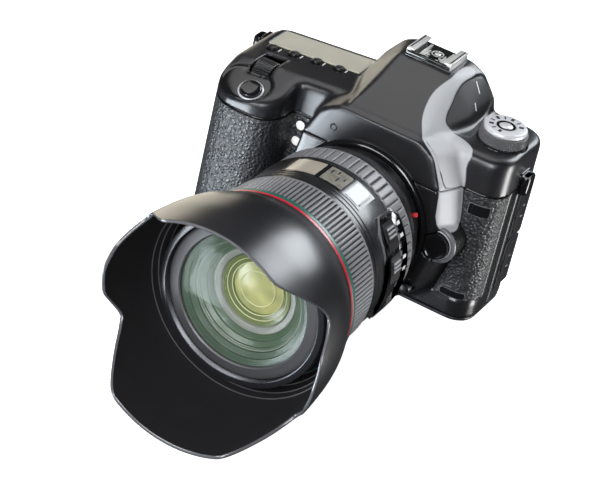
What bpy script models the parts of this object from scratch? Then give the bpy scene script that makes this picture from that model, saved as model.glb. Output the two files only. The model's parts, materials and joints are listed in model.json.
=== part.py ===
"""A single-lens reflex camera with a zoom lens and a petal hood, as separate closed pieces.

Frame: +Z up, -Y is the front (the way the lens points), +X is the side with the mode dial.
The sensor plane is y = 0, the lens axis is x = 0 and the base plate's underside is z = 0.
"""

import math

import bmesh
import bpy
from mathutils import Matrix, Vector

MM = 0.001
GAP = 0.3 * MM                     # running clearance between neighbouring pieces

# Body envelope
BODY_LEFT = -87.0 * MM             # grip side
BODY_RIGHT = 62.0 * MM
BODY_FRONT = -27.0 * MM
BODY_BACK = 20.0 * MM
GRIP_FRONT = -49.0 * MM
GRIP_INNER = -49.0 * MM            # the grip's side that faces the lens
HOUSING_FRONT = -41.0 * MM         # the block that carries the lens mount
TOP_RIGHT = 89.5 * MM              # height of the shoulder under the mode dial
TOP_SLOPE = 0.095                  # the top plate falls towards the grip's side
SLOPE_START = -30.0 * MM
GRIP_SLOPE = 0.33                  # and forward over the grip
GRIP_RIDGE = -23.0 * MM
BODY_ROUNDING = 4.2 * MM           # of the edges round the top plate and the base
PRISM_TOP = 109.5 * MM
PRISM_X = 1.5 * MM                 # centre of the prism housing and the accessory shoe
SKIN = 1.3 * MM                    # depth of the recess that the leather lies in
WALL = 3.0 * MM                    # outer face to cavity
BASE_THICK = 2.8 * MM
SEAM_HEIGHT = 70.5 * MM            # top cover meets front and rear covers
SPLIT_Y = -4.0 * MM                # front cover meets rear cover

# Lens: distances are along the axis, forward from the sensor plane
AXIS_Z = 42.4 * MM
THROAT_RADIUS = 28.4 * MM          # the way for light through the front cover
RELEASE = Vector((41.5, -37.0, 42.7)) * MM

# Lens rings and glass, in mm as their turned profiles are
BARREL_RADIUS = 41.0
FOCUS_RADIUS = 40.0
ZOOM_RADIUS = 42.0
HEAD_RADIUS = 41.4
FLANGE_RADIUS = 44.7               # the coloured step that the hood locks against
FILTER_RADIUS = 38.6               # 77 mm filter thread
GLASS_RADIUS = 31.9
FLANGE_DISTANCE = 44.3
BARREL_FRONT = 103.8
HEAD_FRONT = 150.5

# Hood
HOOD_REAR = 133.0 * MM
HOOD_WALL = 1.7 * MM
HOOD_TURN = math.radians(4)        # how far round from upright the petals stand
# Rim distance from the sensor plane, in mm, against degrees from the nearer of top and bottom
PETAL_RIM = [
    (0, 192.5), (31, 192.5), (36, 188.5), (54, 169.5), (60, 165.5), (66, 169), (76, 176.5), (90, 179)]
HOOD_SHAPE = [(133, 45.2), (138, 47.6), (145, 50.6), (155, 52.9), (170, 54.6), (193, 55.6)]

# Reflex mirror
MIRROR_HINGE_Y = -9.0 * MM
MIRROR_HINGE_Z = 62.5 * MM
MIRROR_LENGTH = 28.0 * MM
MIRROR_WIDTH = 34.0 * MM

ROUND_STEPS = 48
FAR = 150 * MM                     # beyond the body on every side, for regions that cut right through

for stale in list(bpy.data.objects):
    bpy.data.objects.remove(stale, do_unlink=True)

PARTS = bpy.data.collections.new("dslr_camera")
CUTTERS = bpy.data.collections.new("cutters")
bpy.context.scene.collection.children.link(PARTS)
bpy.context.scene.collection.children.link(CUTTERS)


# ---------------------------------------------------------------- materials

def material(name, colour, roughness, metallic=0.0):
    made = bpy.data.materials.new(name)
    made.use_nodes = True
    shader = made.node_tree.nodes["Principled BSDF"]
    shader.inputs["Base Color"].default_value = (*colour, 1.0)
    shader.inputs["Roughness"].default_value = roughness
    shader.inputs["Metallic"].default_value = metallic
    return made


BLACK_SHELL = material("satin_black", (0.02, 0.02, 0.022), 0.42)
BLACK_GRAIN = material("leather_black", (0.018, 0.018, 0.02), 0.6)
RUBBER = material("rubber_black", (0.02, 0.02, 0.02), 0.75)
BUTTON = material("button_black", (0.03, 0.03, 0.03), 0.35)
STEEL = material("bright_steel", (0.62, 0.62, 0.64), 0.25, 1.0)
DARK_METAL = material("dark_metal", (0.05, 0.05, 0.055), 0.4, 0.7)
GLASS = material("coated_glass", (0.2, 0.32, 0.18), 0.04)
MIRRORED = material("mirror_coat", (0.8, 0.8, 0.82), 0.03, 1.0)
SCREEN = material("display_panel", (0.62, 0.6, 0.52), 0.25)
MONITOR = material("monitor_panel", (0.03, 0.03, 0.035), 0.12)
BOARD = material("circuit_green", (0.03, 0.14, 0.06), 0.5)
CELL = material("battery_grey", (0.12, 0.12, 0.13), 0.5)
LAMP = material("lamp_white", (0.85, 0.85, 0.82), 0.3)


# ---------------------------------------------------------------- shape helpers

def add_mesh(name, mesh, paint, place=None, collection=PARTS):
    made = bpy.data.objects.new(name, mesh)
    if paint:
        mesh.materials.append(paint)
    if place is not None:
        made.matrix_world = place
    collection.objects.link(made)
    return made


def mesh_from(name, work):
    mesh = bpy.data.meshes.new(name)
    bmesh.ops.recalc_face_normals(work, faces=work.faces)
    work.to_mesh(mesh)
    work.free()
    return mesh


def facing(centre, direction):
    """Placement at the centre with local +Z along the direction and local +X across the camera."""
    normal = Vector(direction).normalized()
    hint = Vector((0, 1, 0)) if abs(normal.z) > 0.7 else Vector((0, 0, 1))
    side = hint.cross(normal).normalized()
    turn = Matrix((side, normal.cross(side), normal)).transposed()
    return Matrix.Translation(Vector(centre)) @ turn.to_4x4()


def lens_place():
    """Placement whose local +Z runs forward along the lens axis."""
    return Matrix.Translation((0, 0, AXIS_Z)) @ Matrix.Rotation(math.radians(90), 4, "X")


def smooth(thing, angle=35):
    thing.data.shade_smooth()
    thing.data.set_sharp_from_angle(angle=math.radians(angle))
    return thing


def bevel(thing, width, steps=2, angle=40):
    made = thing.modifiers.new("round_edges", "BEVEL")
    made.width = width
    made.segments = steps
    made.limit_method = "ANGLE"
    made.angle_limit = math.radians(angle)
    return thing


def box(name, low, high, paint, origin=None, collection=PARTS):
    """A box between two corners, with its object origin where asked, or at its middle."""
    middle = Vector([(a + b) / 2 for a, b in zip(low, high)])
    origin = Vector(origin) if origin is not None else middle
    work = bmesh.new()
    bmesh.ops.create_cube(work, size=1.0)
    bmesh.ops.scale(work, vec=[b - a for a, b in zip(low, high)], verts=work.verts)
    bmesh.ops.translate(work, vec=middle - origin, verts=work.verts)
    return add_mesh(name, mesh_from(name, work), paint, Matrix.Translation(origin), collection)


def cylinder(name, place, radius, low, high, paint, steps=24, top_radius=None, collection=PARTS):
    """A cylinder or cone along the placement's local Z, from low to high."""
    work = bmesh.new()
    top_radius = radius if top_radius is None else top_radius
    bmesh.ops.create_cone(
        work, cap_ends=True, segments=steps, radius1=radius, radius2=top_radius, depth=high - low)
    bmesh.ops.translate(work, vec=(0, 0, (high + low) / 2), verts=work.verts)
    return add_mesh(name, mesh_from(name, work), paint, place, collection)


def turned(name, profile, paint, steps=ROUND_STEPS, place=None, collection=PARTS):
    """A ring turned about local Z from a closed profile of (radius, height) in mm.

    The profile runs down its outer side and back up its inner side.
    """
    work = bmesh.new()
    points = [work.verts.new((radius * MM, 0, height * MM)) for radius, height in profile]
    for first, second in zip(points, points[1:] + points[:1]):
        work.edges.new((first, second))
    mesh = bpy.data.meshes.new(name)
    work.to_mesh(mesh)
    work.free()
    made = add_mesh(name, mesh, paint, lens_place() if place is None else place, collection)
    screw = made.modifiers.new("turn", "SCREW")
    screw.steps = steps
    screw.render_steps = steps
    screw.use_merge_vertices = True
    screw.merge_threshold = 0.00001
    screw.use_smooth_shade = False
    return made


def hull(name, points, paint, collection=PARTS):
    work = bmesh.new()
    verts = [work.verts.new(point) for point in points]
    made = bmesh.ops.convex_hull(work, input=verts, use_existing_faces=False)
    spare = made["geom_interior"] + made["geom_unused"]
    loose = {item for item in spare if isinstance(item, bmesh.types.BMVert)}
    bmesh.ops.delete(work, geom=list(loose), context="VERTS")
    bmesh.ops.dissolve_limit(work, angle_limit=math.radians(1), verts=work.verts, edges=work.edges)
    return add_mesh(name, mesh_from(name, work), paint, None, collection)


def rounded_outline(corners, steps=4):
    """Points of a closed outline whose corners (x, y, radius) are rounded by arcs."""
    outline = []
    for index, (x, y, radius) in enumerate(corners):
        here = Vector((x, y))
        before = (Vector(corners[index - 1][:2]) - here).normalized()
        after = (Vector(corners[(index + 1) % len(corners)][:2]) - here).normalized()
        half = before.angle(after) / 2
        reach = radius / math.tan(half)
        centre = here + (before + after).normalized() * (radius / math.sin(half))
        start = here + before * reach - centre
        end = here + after * reach - centre
        sweep = start.angle_signed(end)
        for step in range(steps + 1):
            outline.append(centre + Matrix.Rotation(-sweep * step / steps, 2) @ start)
    return outline


def extruded(name, corners, low, high, paint, shape=None, steps=4, collection=PARTS):
    """An outline extruded upwards; shape(work) may then cut and move its points."""
    work = bmesh.new()
    flat = [work.verts.new((point.x, point.y, low)) for point in rounded_outline(corners, steps)]
    face = work.faces.new(flat)
    made = bmesh.ops.extrude_face_region(work, geom=[face])["geom"]
    raised = [item for item in made if isinstance(item, bmesh.types.BMVert)]
    bmesh.ops.translate(work, vec=(0, 0, high - low), verts=raised)
    if shape:
        shape(work)
    return add_mesh(name, mesh_from(name, work), paint, None, collection)


def boolean(thing, other, operation):
    made = thing.modifiers.new(operation.lower() + "_" + other.name, "BOOLEAN")
    made.operation = operation
    made.object = other
    made.solver = "EXACT"
    return thing


def as_cutter(thing):
    thing.hide_render = True
    thing.display_type = "WIRE"
    return thing


def cutter_box(name, low, high):
    return as_cutter(box(name, low, high, None, collection=CUTTERS))


def baked(thing, name, paint, collection=PARTS):
    """A new object holding the thing's mesh after its modifiers, whose own origin is the world's."""
    bpy.context.view_layer.update()
    graph = bpy.context.evaluated_depsgraph_get()
    mesh = bpy.data.meshes.new_from_object(thing.evaluated_get(graph))
    mesh.transform(thing.matrix_world)
    mesh.name = name
    mesh.materials.clear()
    return add_mesh(name, mesh, paint, None, collection)


# ---------------------------------------------------------------- the body's outer form

def top_height(x, y=0.0):
    """Height of the top plate: it falls towards the grip's side, and forward over the grip."""
    sideways = max(0.0, SLOPE_START - x) * TOP_SLOPE
    forward = max(0.0, GRIP_RIDGE - y) * GRIP_SLOPE
    return TOP_RIGHT - sideways - forward


def slope_top(work):
    for point, normal in (((SLOPE_START, 0, 0), (1, 0, 0)), ((0, GRIP_RIDGE, 0), (0, 1, 0))):
        everything = work.verts[:] + work.edges[:] + work.faces[:]
        bmesh.ops.bisect_plane(work, geom=everything, plane_co=point, plane_no=normal)
    for vert in work.verts:
        if vert.co.z > SEAM_HEIGHT:
            vert.co.z -= TOP_RIGHT - top_height(vert.co.x, vert.co.y)


def main_form(name, inset):
    """The slab and the grip in one outline seen from above, rounded at its rims."""
    left, right = BODY_LEFT + inset, BODY_RIGHT - inset
    front, back = BODY_FRONT + inset, BODY_BACK - inset
    grip_front, grip_inner = GRIP_FRONT + inset, GRIP_INNER - inset
    corners = [
        (left, grip_front, 17 * MM - inset),
        (grip_inner, grip_front, 13 * MM - inset),
        (grip_inner, front, 3 * MM + inset),
        (right, front, 11 * MM - inset),
        (right, back, 12 * MM - inset),
        (left, back, 9 * MM - inset),
    ]
    made = extruded(name, corners, inset, TOP_RIGHT - inset, None, slope_top, 5, CUTTERS)
    return as_cutter(bevel(made, BODY_ROUNDING, 2))


HOUSING_HALF = [(3, 22), (14, 35), (34, 40), (54, 39.5), (72, 36.5), (86, 30.5), (91, 20.5)]


def housing_form(name, inset):
    """The block round the lens mount: its front is narrower than its root on the body."""
    points = []
    for height, half in HOUSING_HALF:
        for side, flare in ((-1, 1), (1, 6.5)):
            front_x = side * (half * MM - inset)
            root_x = side * ((half + flare) * MM - inset)
            z = height * MM + (inset if height < 40 else -inset)
            points.append((front_x, HOUSING_FRONT + inset, z))
            points.append((root_x, -26 * MM, z))
            points.append((root_x * 0.9, -10 * MM, z))
    return bevel(as_cutter(hull(name, points, None, CUTTERS)), 1.5 * MM, 2, 25)


def prism_form(name, inset):
    """The hump over the pentaprism: narrow lip in front, wide viewfinder block behind."""
    sections = [                     # y, then (half width, height) pairs, in mm
        (-38, [(20, 82), (19.5, 91.5)]),
        (-22, [(26, 80), (14, 101)]),
        (-4, [(33, 80), (29, 94), (14.5, 109.5)]),
        (19.5, [(32, 80), (30, 96), (22, 106), (14, 109.5)]),
    ]
    points = []
    for depth, pairs in sections:
        y = depth * MM + (inset if depth < 0 else -inset)
        for half, height in pairs:
            z = height * MM - (inset if height > 88 else 0)
            for side in (-1, 1):
                points.append((PRISM_X + side * (half * MM - inset), y, z))
    return bevel(as_cutter(hull(name, points, None, CUTTERS)), 2.5 * MM, 2, 20)


def body_form(name, side_inset, housing_inset, prism_inset):
    """One closed solid of the whole body's outside, each face moved in by its inset."""
    whole = main_form(name + "_main", side_inset)
    boolean(whole, housing_form(name + "_housing", housing_inset), "UNION")
    boolean(whole, prism_form(name + "_prism", prism_inset), "UNION")
    made = baked(whole, name, None, CUTTERS)
    bpy.data.objects.remove(whole, do_unlink=True)
    return as_cutter(made)


OUTER = body_form("outer_form", 0, 0, 0)
CAVITY = body_form("cavity_form", WALL, 2.8 * MM, 2.4 * MM)


def body_piece(name, source, low, high, paint, keep_cavity=True):
    """The part of a form inside a box, hollowed by the cavity."""
    made = baked(source, name, paint)
    boolean(made, cutter_box(name + "_region", low, high), "INTERSECT")
    if keep_cavity:
        boolean(made, CAVITY, "DIFFERENCE")
    return made


FRONT_COVER = body_piece(
    "front_cover", OUTER,
    (-FAR, -FAR, BASE_THICK + GAP), (FAR, SPLIT_Y - GAP / 2, SEAM_HEIGHT - GAP), BLACK_SHELL)
REAR_COVER = body_piece(
    "rear_cover", OUTER,
    (-FAR, SPLIT_Y + GAP / 2, BASE_THICK + GAP), (FAR, FAR, SEAM_HEIGHT - GAP), BLACK_SHELL)
TOP_COVER = body_piece(
    "top_cover", OUTER, (-FAR, -FAR, SEAM_HEIGHT), (FAR, FAR, FAR), BLACK_SHELL)
BASE_PLATE = body_piece(
    "base_plate", OUTER, (-FAR, -FAR, -FAR), (FAR, FAR, BASE_THICK), DARK_METAL, False)


def leather(name, low, high):
    """A grained skin over part of the slab and grip, and the recess in the front cover for it."""
    recess = cutter_box(name + "_recess", low, high)
    boolean(recess, main_form(name + "_floor", SKIN), "DIFFERENCE")
    boolean(recess, housing_form(name + "_housing", -0.2 * MM), "DIFFERENCE")
    boolean(FRONT_COVER, recess, "DIFFERENCE")
    made = baked(main_form(name + "_top", 0), name, BLACK_GRAIN)
    inner_low = [value + GAP for value in low]
    inner_high = [value - GAP for value in high]
    boolean(made, cutter_box(name + "_region", inner_low, inner_high), "INTERSECT")
    boolean(made, main_form(name + "_under", SKIN - GAP), "DIFFERENCE")
    boolean(made, housing_form(name + "_clear", -0.5 * MM), "DIFFERENCE")
    return made


GRIP_LEATHER = leather("grip_leather", (-FAR, -FAR, 5 * MM), (-30 * MM, -14 * MM, SEAM_HEIGHT - GAP))
SIDE_LEATHER = leather("side_leather", (30 * MM, -FAR, 12 * MM), (FAR, -13 * MM, SEAM_HEIGHT - GAP))


# ---------------------------------------------------------------- openings in the covers

def well(cover, name, place, radius, low, high, steps=24):
    """A round hole through a cover for a button, dial or screw."""
    hole = cylinder(name + "_well", place, radius, low, high, None, steps, collection=CUTTERS)
    return boolean(cover, as_cutter(hole), "DIFFERENCE")


def slot(cover, name, low, high):
    return boolean(cover, cutter_box(name + "_slot", low, high), "DIFFERENCE")


def button(name, cover, place, radius, above, below, paint=BUTTON, steps=20):
    """A push button whose origin is on the cover's surface, and the hole that it slides in."""
    well(cover, name, place, radius + 0.35 * MM, -6 * MM, 6 * MM, steps)
    made = cylinder(name, place, radius, -below, above, paint, steps)
    return bevel(smooth(made), 0.35 * MM, 1)


# Lens throat and mirror opening through the front cover
well(FRONT_COVER, "throat", lens_place(), THROAT_RADIUS, 20 * MM, 60 * MM, ROUND_STEPS)


# ---------------------------------------------------------------- inside the body

def make_chassis():
    """The mirror box: open in front, behind and at the top, where the light goes to the prism."""
    half = 24 * MM
    made = box("mirror_box", (-half, -37.5 * MM, 20 * MM), (half, -6 * MM, 67 * MM), DARK_METAL)
    slot(made, "mirror_box_way", (-20 * MM, -60 * MM, 23.5 * MM), (20 * MM, 10 * MM, 64.2 * MM))
    slot(made, "mirror_box_top", (-18 * MM, -35 * MM, 60 * MM), (18 * MM, -11 * MM, 80 * MM))
    return made


def make_prism():
    outline = [(-32, 70.5), (-6, 70.5), (0, 84), (-6, 100), (-12, 101), (-26, 92), (-32, 84)]
    points = []
    for depth, height in outline:
        half = 8 if height > 95 else 16
        points += [(PRISM_X + side * half * MM, depth * MM, height * MM) for side in (-1, 1)]
    return hull("pentaprism", points, GLASS)


def make_mirror():
    hinge = (0, MIRROR_HINGE_Y, MIRROR_HINGE_Z)
    half = MIRROR_WIDTH / 2
    made = box(
        "mirror", (-half, -MIRROR_LENGTH, -1.6 * MM), (half, 1 * MM, 0), MIRRORED, (0, 0, 0))
    made.matrix_world = Matrix.Translation(hinge) @ Matrix.Rotation(math.radians(45), 4, "X")
    return made


def make_sub_mirror():
    """Sends light down to the focus sensor; it folds flat behind the main mirror."""
    reach = 13 * MM
    down = math.radians(45)
    offset = 16.5 * MM
    along_mirror = Vector((0, -math.cos(down), -math.sin(down)))
    behind_mirror = Vector((0, math.sin(down), -math.cos(down)))
    hinge = Vector((0, MIRROR_HINGE_Y, MIRROR_HINGE_Z)) + along_mirror * offset + behind_mirror * 2.6 * MM
    made = box("sub_mirror", (-9 * MM, 0.6 * MM, -0.5 * MM), (9 * MM, reach, 0.5 * MM), MIRRORED, (0, 0, 0))
    made.matrix_world = Matrix.Translation(hinge) @ Matrix.Rotation(-down, 4, "X")
    return made


make_chassis()
make_prism()
make_mirror()
make_sub_mirror()
box("shutter_curtain", (-19 * MM, -4.6 * MM, 29.9 * MM), (19 * MM, -3.9 * MM, 54.9 * MM), DARK_METAL)
box("image_sensor", (-21 * MM, -2 * MM, 27 * MM), (21 * MM, 1.5 * MM, 58 * MM), GLASS)
box("main_board", (-54 * MM, 4 * MM, 8 * MM), (54 * MM, 5.6 * MM, 66 * MM), BOARD)
bevel(box("battery", (-78.5 * MM, -41.5 * MM, 5.5 * MM), (-57.5 * MM, -5 * MM, 62 * MM), CELL), 1.5 * MM, 1)


# ---------------------------------------------------------------- top of the camera

def tilt_place(x, y, lift=0.0):
    """On the top plate, facing along its slope."""
    normal = Vector((-TOP_SLOPE, 0, 1)) if x < SLOPE_START else Vector((0, 0, 1))
    return facing((x, y, top_height(x) + lift), normal)


def make_top_display():
    place = tilt_place(-56 * MM, 7 * MM)
    made = box(
        "top_display", (-25 * MM, -9 * MM, -1.4 * MM), (25 * MM, 9 * MM, 0.1 * MM), SCREEN, (0, 0, 0))
    made.matrix_world = place
    pocket = box(
        "top_display_pocket", (-25.3 * MM, -9.3 * MM, -1.7 * MM), (25.3 * MM, 9.3 * MM, 8 * MM),
        None, (0, 0, 0), CUTTERS)
    pocket.matrix_world = place
    boolean(TOP_COVER, as_cutter(pocket), "DIFFERENCE")
    return bevel(made, 0.4 * MM, 1)


def make_shutter_button():
    place = facing((-66.5 * MM, -42 * MM, 79.2 * MM), (0, -0.45, 1))
    return button("shutter_button", TOP_COVER, place, 5 * MM, 1.6 * MM, 2.6 * MM)


def make_main_dial():
    """A finger wheel on a crosswise axle, half sunk in the top of the grip."""
    centre = Vector((-70 * MM, -21.5 * MM, 77.6 * MM))
    slot(TOP_COVER, "main_dial", centre + Vector((-5.6, -8.9, -9)) * MM, centre + Vector((5.6, 8.9, 20)) * MM)
    made = cylinder("main_dial", facing(centre, (1, 0, 0)), 8.3 * MM, -5 * MM, 5 * MM, RUBBER, 32)
    return bevel(smooth(made), 0.7 * MM, 1)


def make_mode_dial():
    place = facing((47.8 * MM, -4.9 * MM, TOP_RIGHT), (0, 0, 1))
    made = cylinder("mode_dial", place, 11.2 * MM, GAP, 8.2 * MM, DARK_METAL, 40, 10.2 * MM)
    return bevel(smooth(made), 0.6 * MM, 1)


def make_top_buttons():
    for number, (x, y) in enumerate([(-76, -6.8), (-64.5, -6), (-52.5, -5.4), (-40.5, -5)], 1):
        place = tilt_place(x * MM, y * MM)
        button(f"top_button_{number}", TOP_COVER, place, 2.3 * MM, 1.1 * MM, 2.4 * MM, steps=14)


def make_accessory_shoe():
    """Standard shoe: a floor, two side walls and two lips over the slot."""
    low = (PRISM_X - 11.8 * MM, -3.4 * MM, PRISM_TOP + GAP)
    high = (PRISM_X + 11.8 * MM, 15.5 * MM, PRISM_TOP + 4.0 * MM)
    made = box("accessory_shoe", low, high, STEEL)
    slot(made, "shoe_channel", (PRISM_X - 9.35 * MM, -1.6 * MM, PRISM_TOP + 1.1 * MM),
         (PRISM_X + 9.35 * MM, 30 * MM, PRISM_TOP + 3.15 * MM))
    slot(made, "shoe_mouth", (PRISM_X - 7.9 * MM, -1.6 * MM, PRISM_TOP + 2 * MM),
         (PRISM_X + 7.9 * MM, 30 * MM, PRISM_TOP + 10 * MM))
    return made


make_top_display()
make_shutter_button()
make_main_dial()
make_mode_dial()
make_top_buttons()
make_accessory_shoe()


# ---------------------------------------------------------------- back of the camera

def rear_place(x, z):
    return facing((x, BODY_BACK, z), (0, 1, 0))


def make_monitor():
    low, high = Vector((-23, 0, 9)) * MM, Vector((46, 0, 62)) * MM
    slot(REAR_COVER, "monitor", low + Vector((-GAP, 12 * MM, -GAP)), high + Vector((GAP, FAR, GAP)))
    made = box(
        "rear_monitor", low + Vector((0, 14 * MM, 0)), high + Vector((0, BODY_BACK + 0.8 * MM, 0)), MONITOR)
    return bevel(made, 0.5 * MM, 1)


def make_quick_dial():
    """The large thumb wheel, with the confirm button in its middle."""
    place = rear_place(-60 * MM, 27 * MM)
    well(REAR_COVER, "quick_dial", place, 6.1 * MM, -9 * MM, 6 * MM)
    profile = [(18.5, 2.4), (19, 0.3), (7.3, 0.3), (7.3, 1.6), (12, 1.8)]
    smooth(turned("quick_dial", profile, RUBBER, 40, place))
    middle = cylinder("set_button", place, 5.7 * MM, -3 * MM, 1.7 * MM, BUTTON, 24)
    return bevel(smooth(middle), 0.5 * MM, 2)


def make_rear_controls():
    for number in range(5):
        place = rear_place(54 * MM, (16 + 10.5 * number) * MM)
        button(f"rear_button_{number + 1}", REAR_COVER, place, 2.9 * MM, 1.2 * MM, 2.6 * MM, steps=14)
    thumb = [(-46, 77), (-64, 75), (-76, 72.6)]
    for number, (x, z) in enumerate(thumb, 1):
        place = rear_place(x * MM, z * MM)
        button(f"thumb_button_{number}", TOP_COVER, place, 2.2 * MM, 1.2 * MM, 2.6 * MM, steps=14)
    button("joystick", REAR_COVER, rear_place(-52 * MM, 57 * MM), 3.4 * MM, 2.4 * MM, 2.6 * MM, RUBBER)


def make_power_switch():
    """A small lever that turns about a pin under the quick dial."""
    place = rear_place(-44 * MM, 6.8 * MM)
    made = cylinder("power_switch", place, 2.6 * MM, GAP, 1.8 * MM, BUTTON, 20)
    lever = hull("power_lever", [
        (x * MM, y * MM, z * MM) for x, y in ((1, -1.5), (1, 1.5), (7, -1.1), (7, 1.1)) for z in (0.4, 1.9)],
        None, CUTTERS)
    lever.matrix_world = place
    return boolean(made, as_cutter(lever), "UNION")


def make_eyepiece():
    centre = Vector((PRISM_X, 0, 85 * MM))
    low, high = centre + Vector((-14, 10, -9)) * MM, centre + Vector((14, 0, 9)) * MM
    slot(TOP_COVER, "eyepiece", (low.x, 8 * MM, low.z), (high.x, FAR, high.z))
    box("eyepiece_lens", (low.x + GAP, 15 * MM, low.z + GAP), (high.x - GAP, 18.5 * MM, high.z - GAP), GLASS)
    across, tall = 21 * MM, 14 * MM
    corners = [(x * across, z * tall, 6 * MM) for x, z in ((-1, -1), (1, -1), (1, 1), (-1, 1))]
    cup = extruded("eyecup", corners, GAP, 6.5 * MM, RUBBER, None, 4)
    cup.matrix_world = facing((centre.x, BODY_BACK, centre.z), (0, 1, 0))
    slot(cup, "eyecup_window", (low.x + MM, 0, low.z + MM), (high.x - MM, FAR, high.z - MM))
    return cup


def make_diopter_knob():
    place = facing((PRISM_X - 25 * MM, 19.5 * MM, 93 * MM), (0, 1, 0))
    return smooth(cylinder("diopter_knob", place, 3 * MM, GAP, 2.6 * MM, RUBBER, 20))


make_monitor()
make_quick_dial()
make_rear_controls()
make_power_switch()
make_eyepiece()
make_diopter_knob()


# ---------------------------------------------------------------- front, sides and base

def make_release_button():
    """A round key in its own boss beside the mount; it travels into the housing."""
    place = facing(RELEASE, (0, -1, 0))
    boss = cylinder("release_boss", place, 9.5 * MM, -17 * MM, 1 * MM, None, 32, collection=CUTTERS)
    boolean(FRONT_COVER, as_cutter(boss), "UNION")
    well(SIDE_LEATHER, "release_boss", place, 9.8 * MM, -17 * MM, 5 * MM, 32)
    well(FRONT_COVER, "release_deep", place, 7.0 * MM, -14 * MM, 6 * MM, 28)
    made = cylinder("lens_release_button", place, 6.6 * MM, -3 * MM, 3.5 * MM, BLACK_SHELL, 28)
    return bevel(smooth(made), 0.6 * MM, 1)


def make_front_small():
    place = facing((33 * MM, HOUSING_FRONT, 15.5 * MM), (0, -1, 0))
    button("depth_preview_button", FRONT_COVER, place, 2.8 * MM, 1.4 * MM, 2.2 * MM, steps=18)
    lamp = facing((-43.4 * MM, BODY_FRONT, 64.2 * MM), (0, -1, 0))
    well(GRIP_LEATHER, "lamp", lamp, 2.6 * MM, -4 * MM, 4 * MM, 20)
    cylinder("self_timer_lamp", lamp, 2.3 * MM, -SKIN + GAP, 0.4 * MM, LAMP, 20)


def make_strap_lug(name, place):
    """A bent steel loop that the strap is threaded through."""
    made = box(name, (-4.5 * MM, -5 * MM, GAP), (4.5 * MM, 5 * MM, 4 * MM), STEEL, (0, 0, 0))
    made.matrix_world = place
    hole = box(
        name + "_eye", (-2.6 * MM, -3.3 * MM, -5 * MM), (2.6 * MM, 3.3 * MM, 8 * MM),
        None, (0, 0, 0), CUTTERS)
    hole.matrix_world = place
    return bevel(boolean(made, as_cutter(hole), "DIFFERENCE"), 0.4 * MM, 1)


def make_doors():
    side = BODY_RIGHT
    for number, (back, low, high) in enumerate([(15.5, 10, 36.5), (15.5, 37.5, 66)], 1):
        name = f"terminal_cover_{number}"
        front = 0.5 * MM
        slot(REAR_COVER, name,
             (side - 1.9 * MM, front - GAP, low * MM - GAP), (FAR, back * MM + GAP, high * MM + GAP))
        flap = box(
            name, (side - 1.5 * MM, front, low * MM), (side + 0.2 * MM, back * MM, high * MM), RUBBER,
            (side - 0.2 * MM, front + 0.6 * MM, low * MM))
        bevel(flap, 0.4 * MM, 1)
    left = BODY_LEFT
    slot(REAR_COVER, "card_door", (-FAR, -2 * MM, 12 * MM), (left + 1.9 * MM, 10.6 * MM, 64 * MM))
    door = box(
        "card_door",
        (left - 0.2 * MM, -2 * MM + GAP, 12 * MM + GAP), (left + 1.5 * MM, 10.3 * MM, 64 * MM - GAP),
        BLACK_SHELL, (left + 0.2 * MM, -1 * MM, 38 * MM))
    bevel(door, 0.4 * MM, 1)
    slot(BASE_PLATE, "battery_door", (-81 * MM, -43 * MM, -FAR), (-56 * MM, -5 * MM, FAR))
    hatch = box(
        "battery_door", (-81 * MM + GAP, -43 * MM + GAP, 0.2 * MM), (-56 * MM - GAP, -5 * MM - GAP, 2.4 * MM),
        BLACK_SHELL, (-57 * MM, -24 * MM, 0.9 * MM))
    bevel(hatch, 0.3 * MM, 1)


def make_tripod_socket():
    """Threaded bush, 1/4 inch, in line with the lens axis."""
    place = facing((0, -14 * MM, 0), (0, 0, 1))
    well(BASE_PLATE, "tripod", place, 6.3 * MM, -2 * MM, 12 * MM)
    return turned("tripod_socket", [(6, 6.2), (6, 0.1), (3.2, 0.1), (3.2, 6.2)], STEEL, 28, place)


make_release_button()
make_front_small()
make_strap_lug("strap_lug_right", facing((BODY_RIGHT, -2.5 * MM, 72.5 * MM), (1, 0, 0)))
make_strap_lug("strap_lug_left", facing((BODY_LEFT, 6.5 * MM, 77.5 * MM), (-1, 0, 0)))
make_doors()
make_tripod_socket()


# ---------------------------------------------------------------- lens

def lens_ring(name, profile, paint, steps=ROUND_STEPS):
    return smooth(turned(name, profile, paint, steps))


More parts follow.
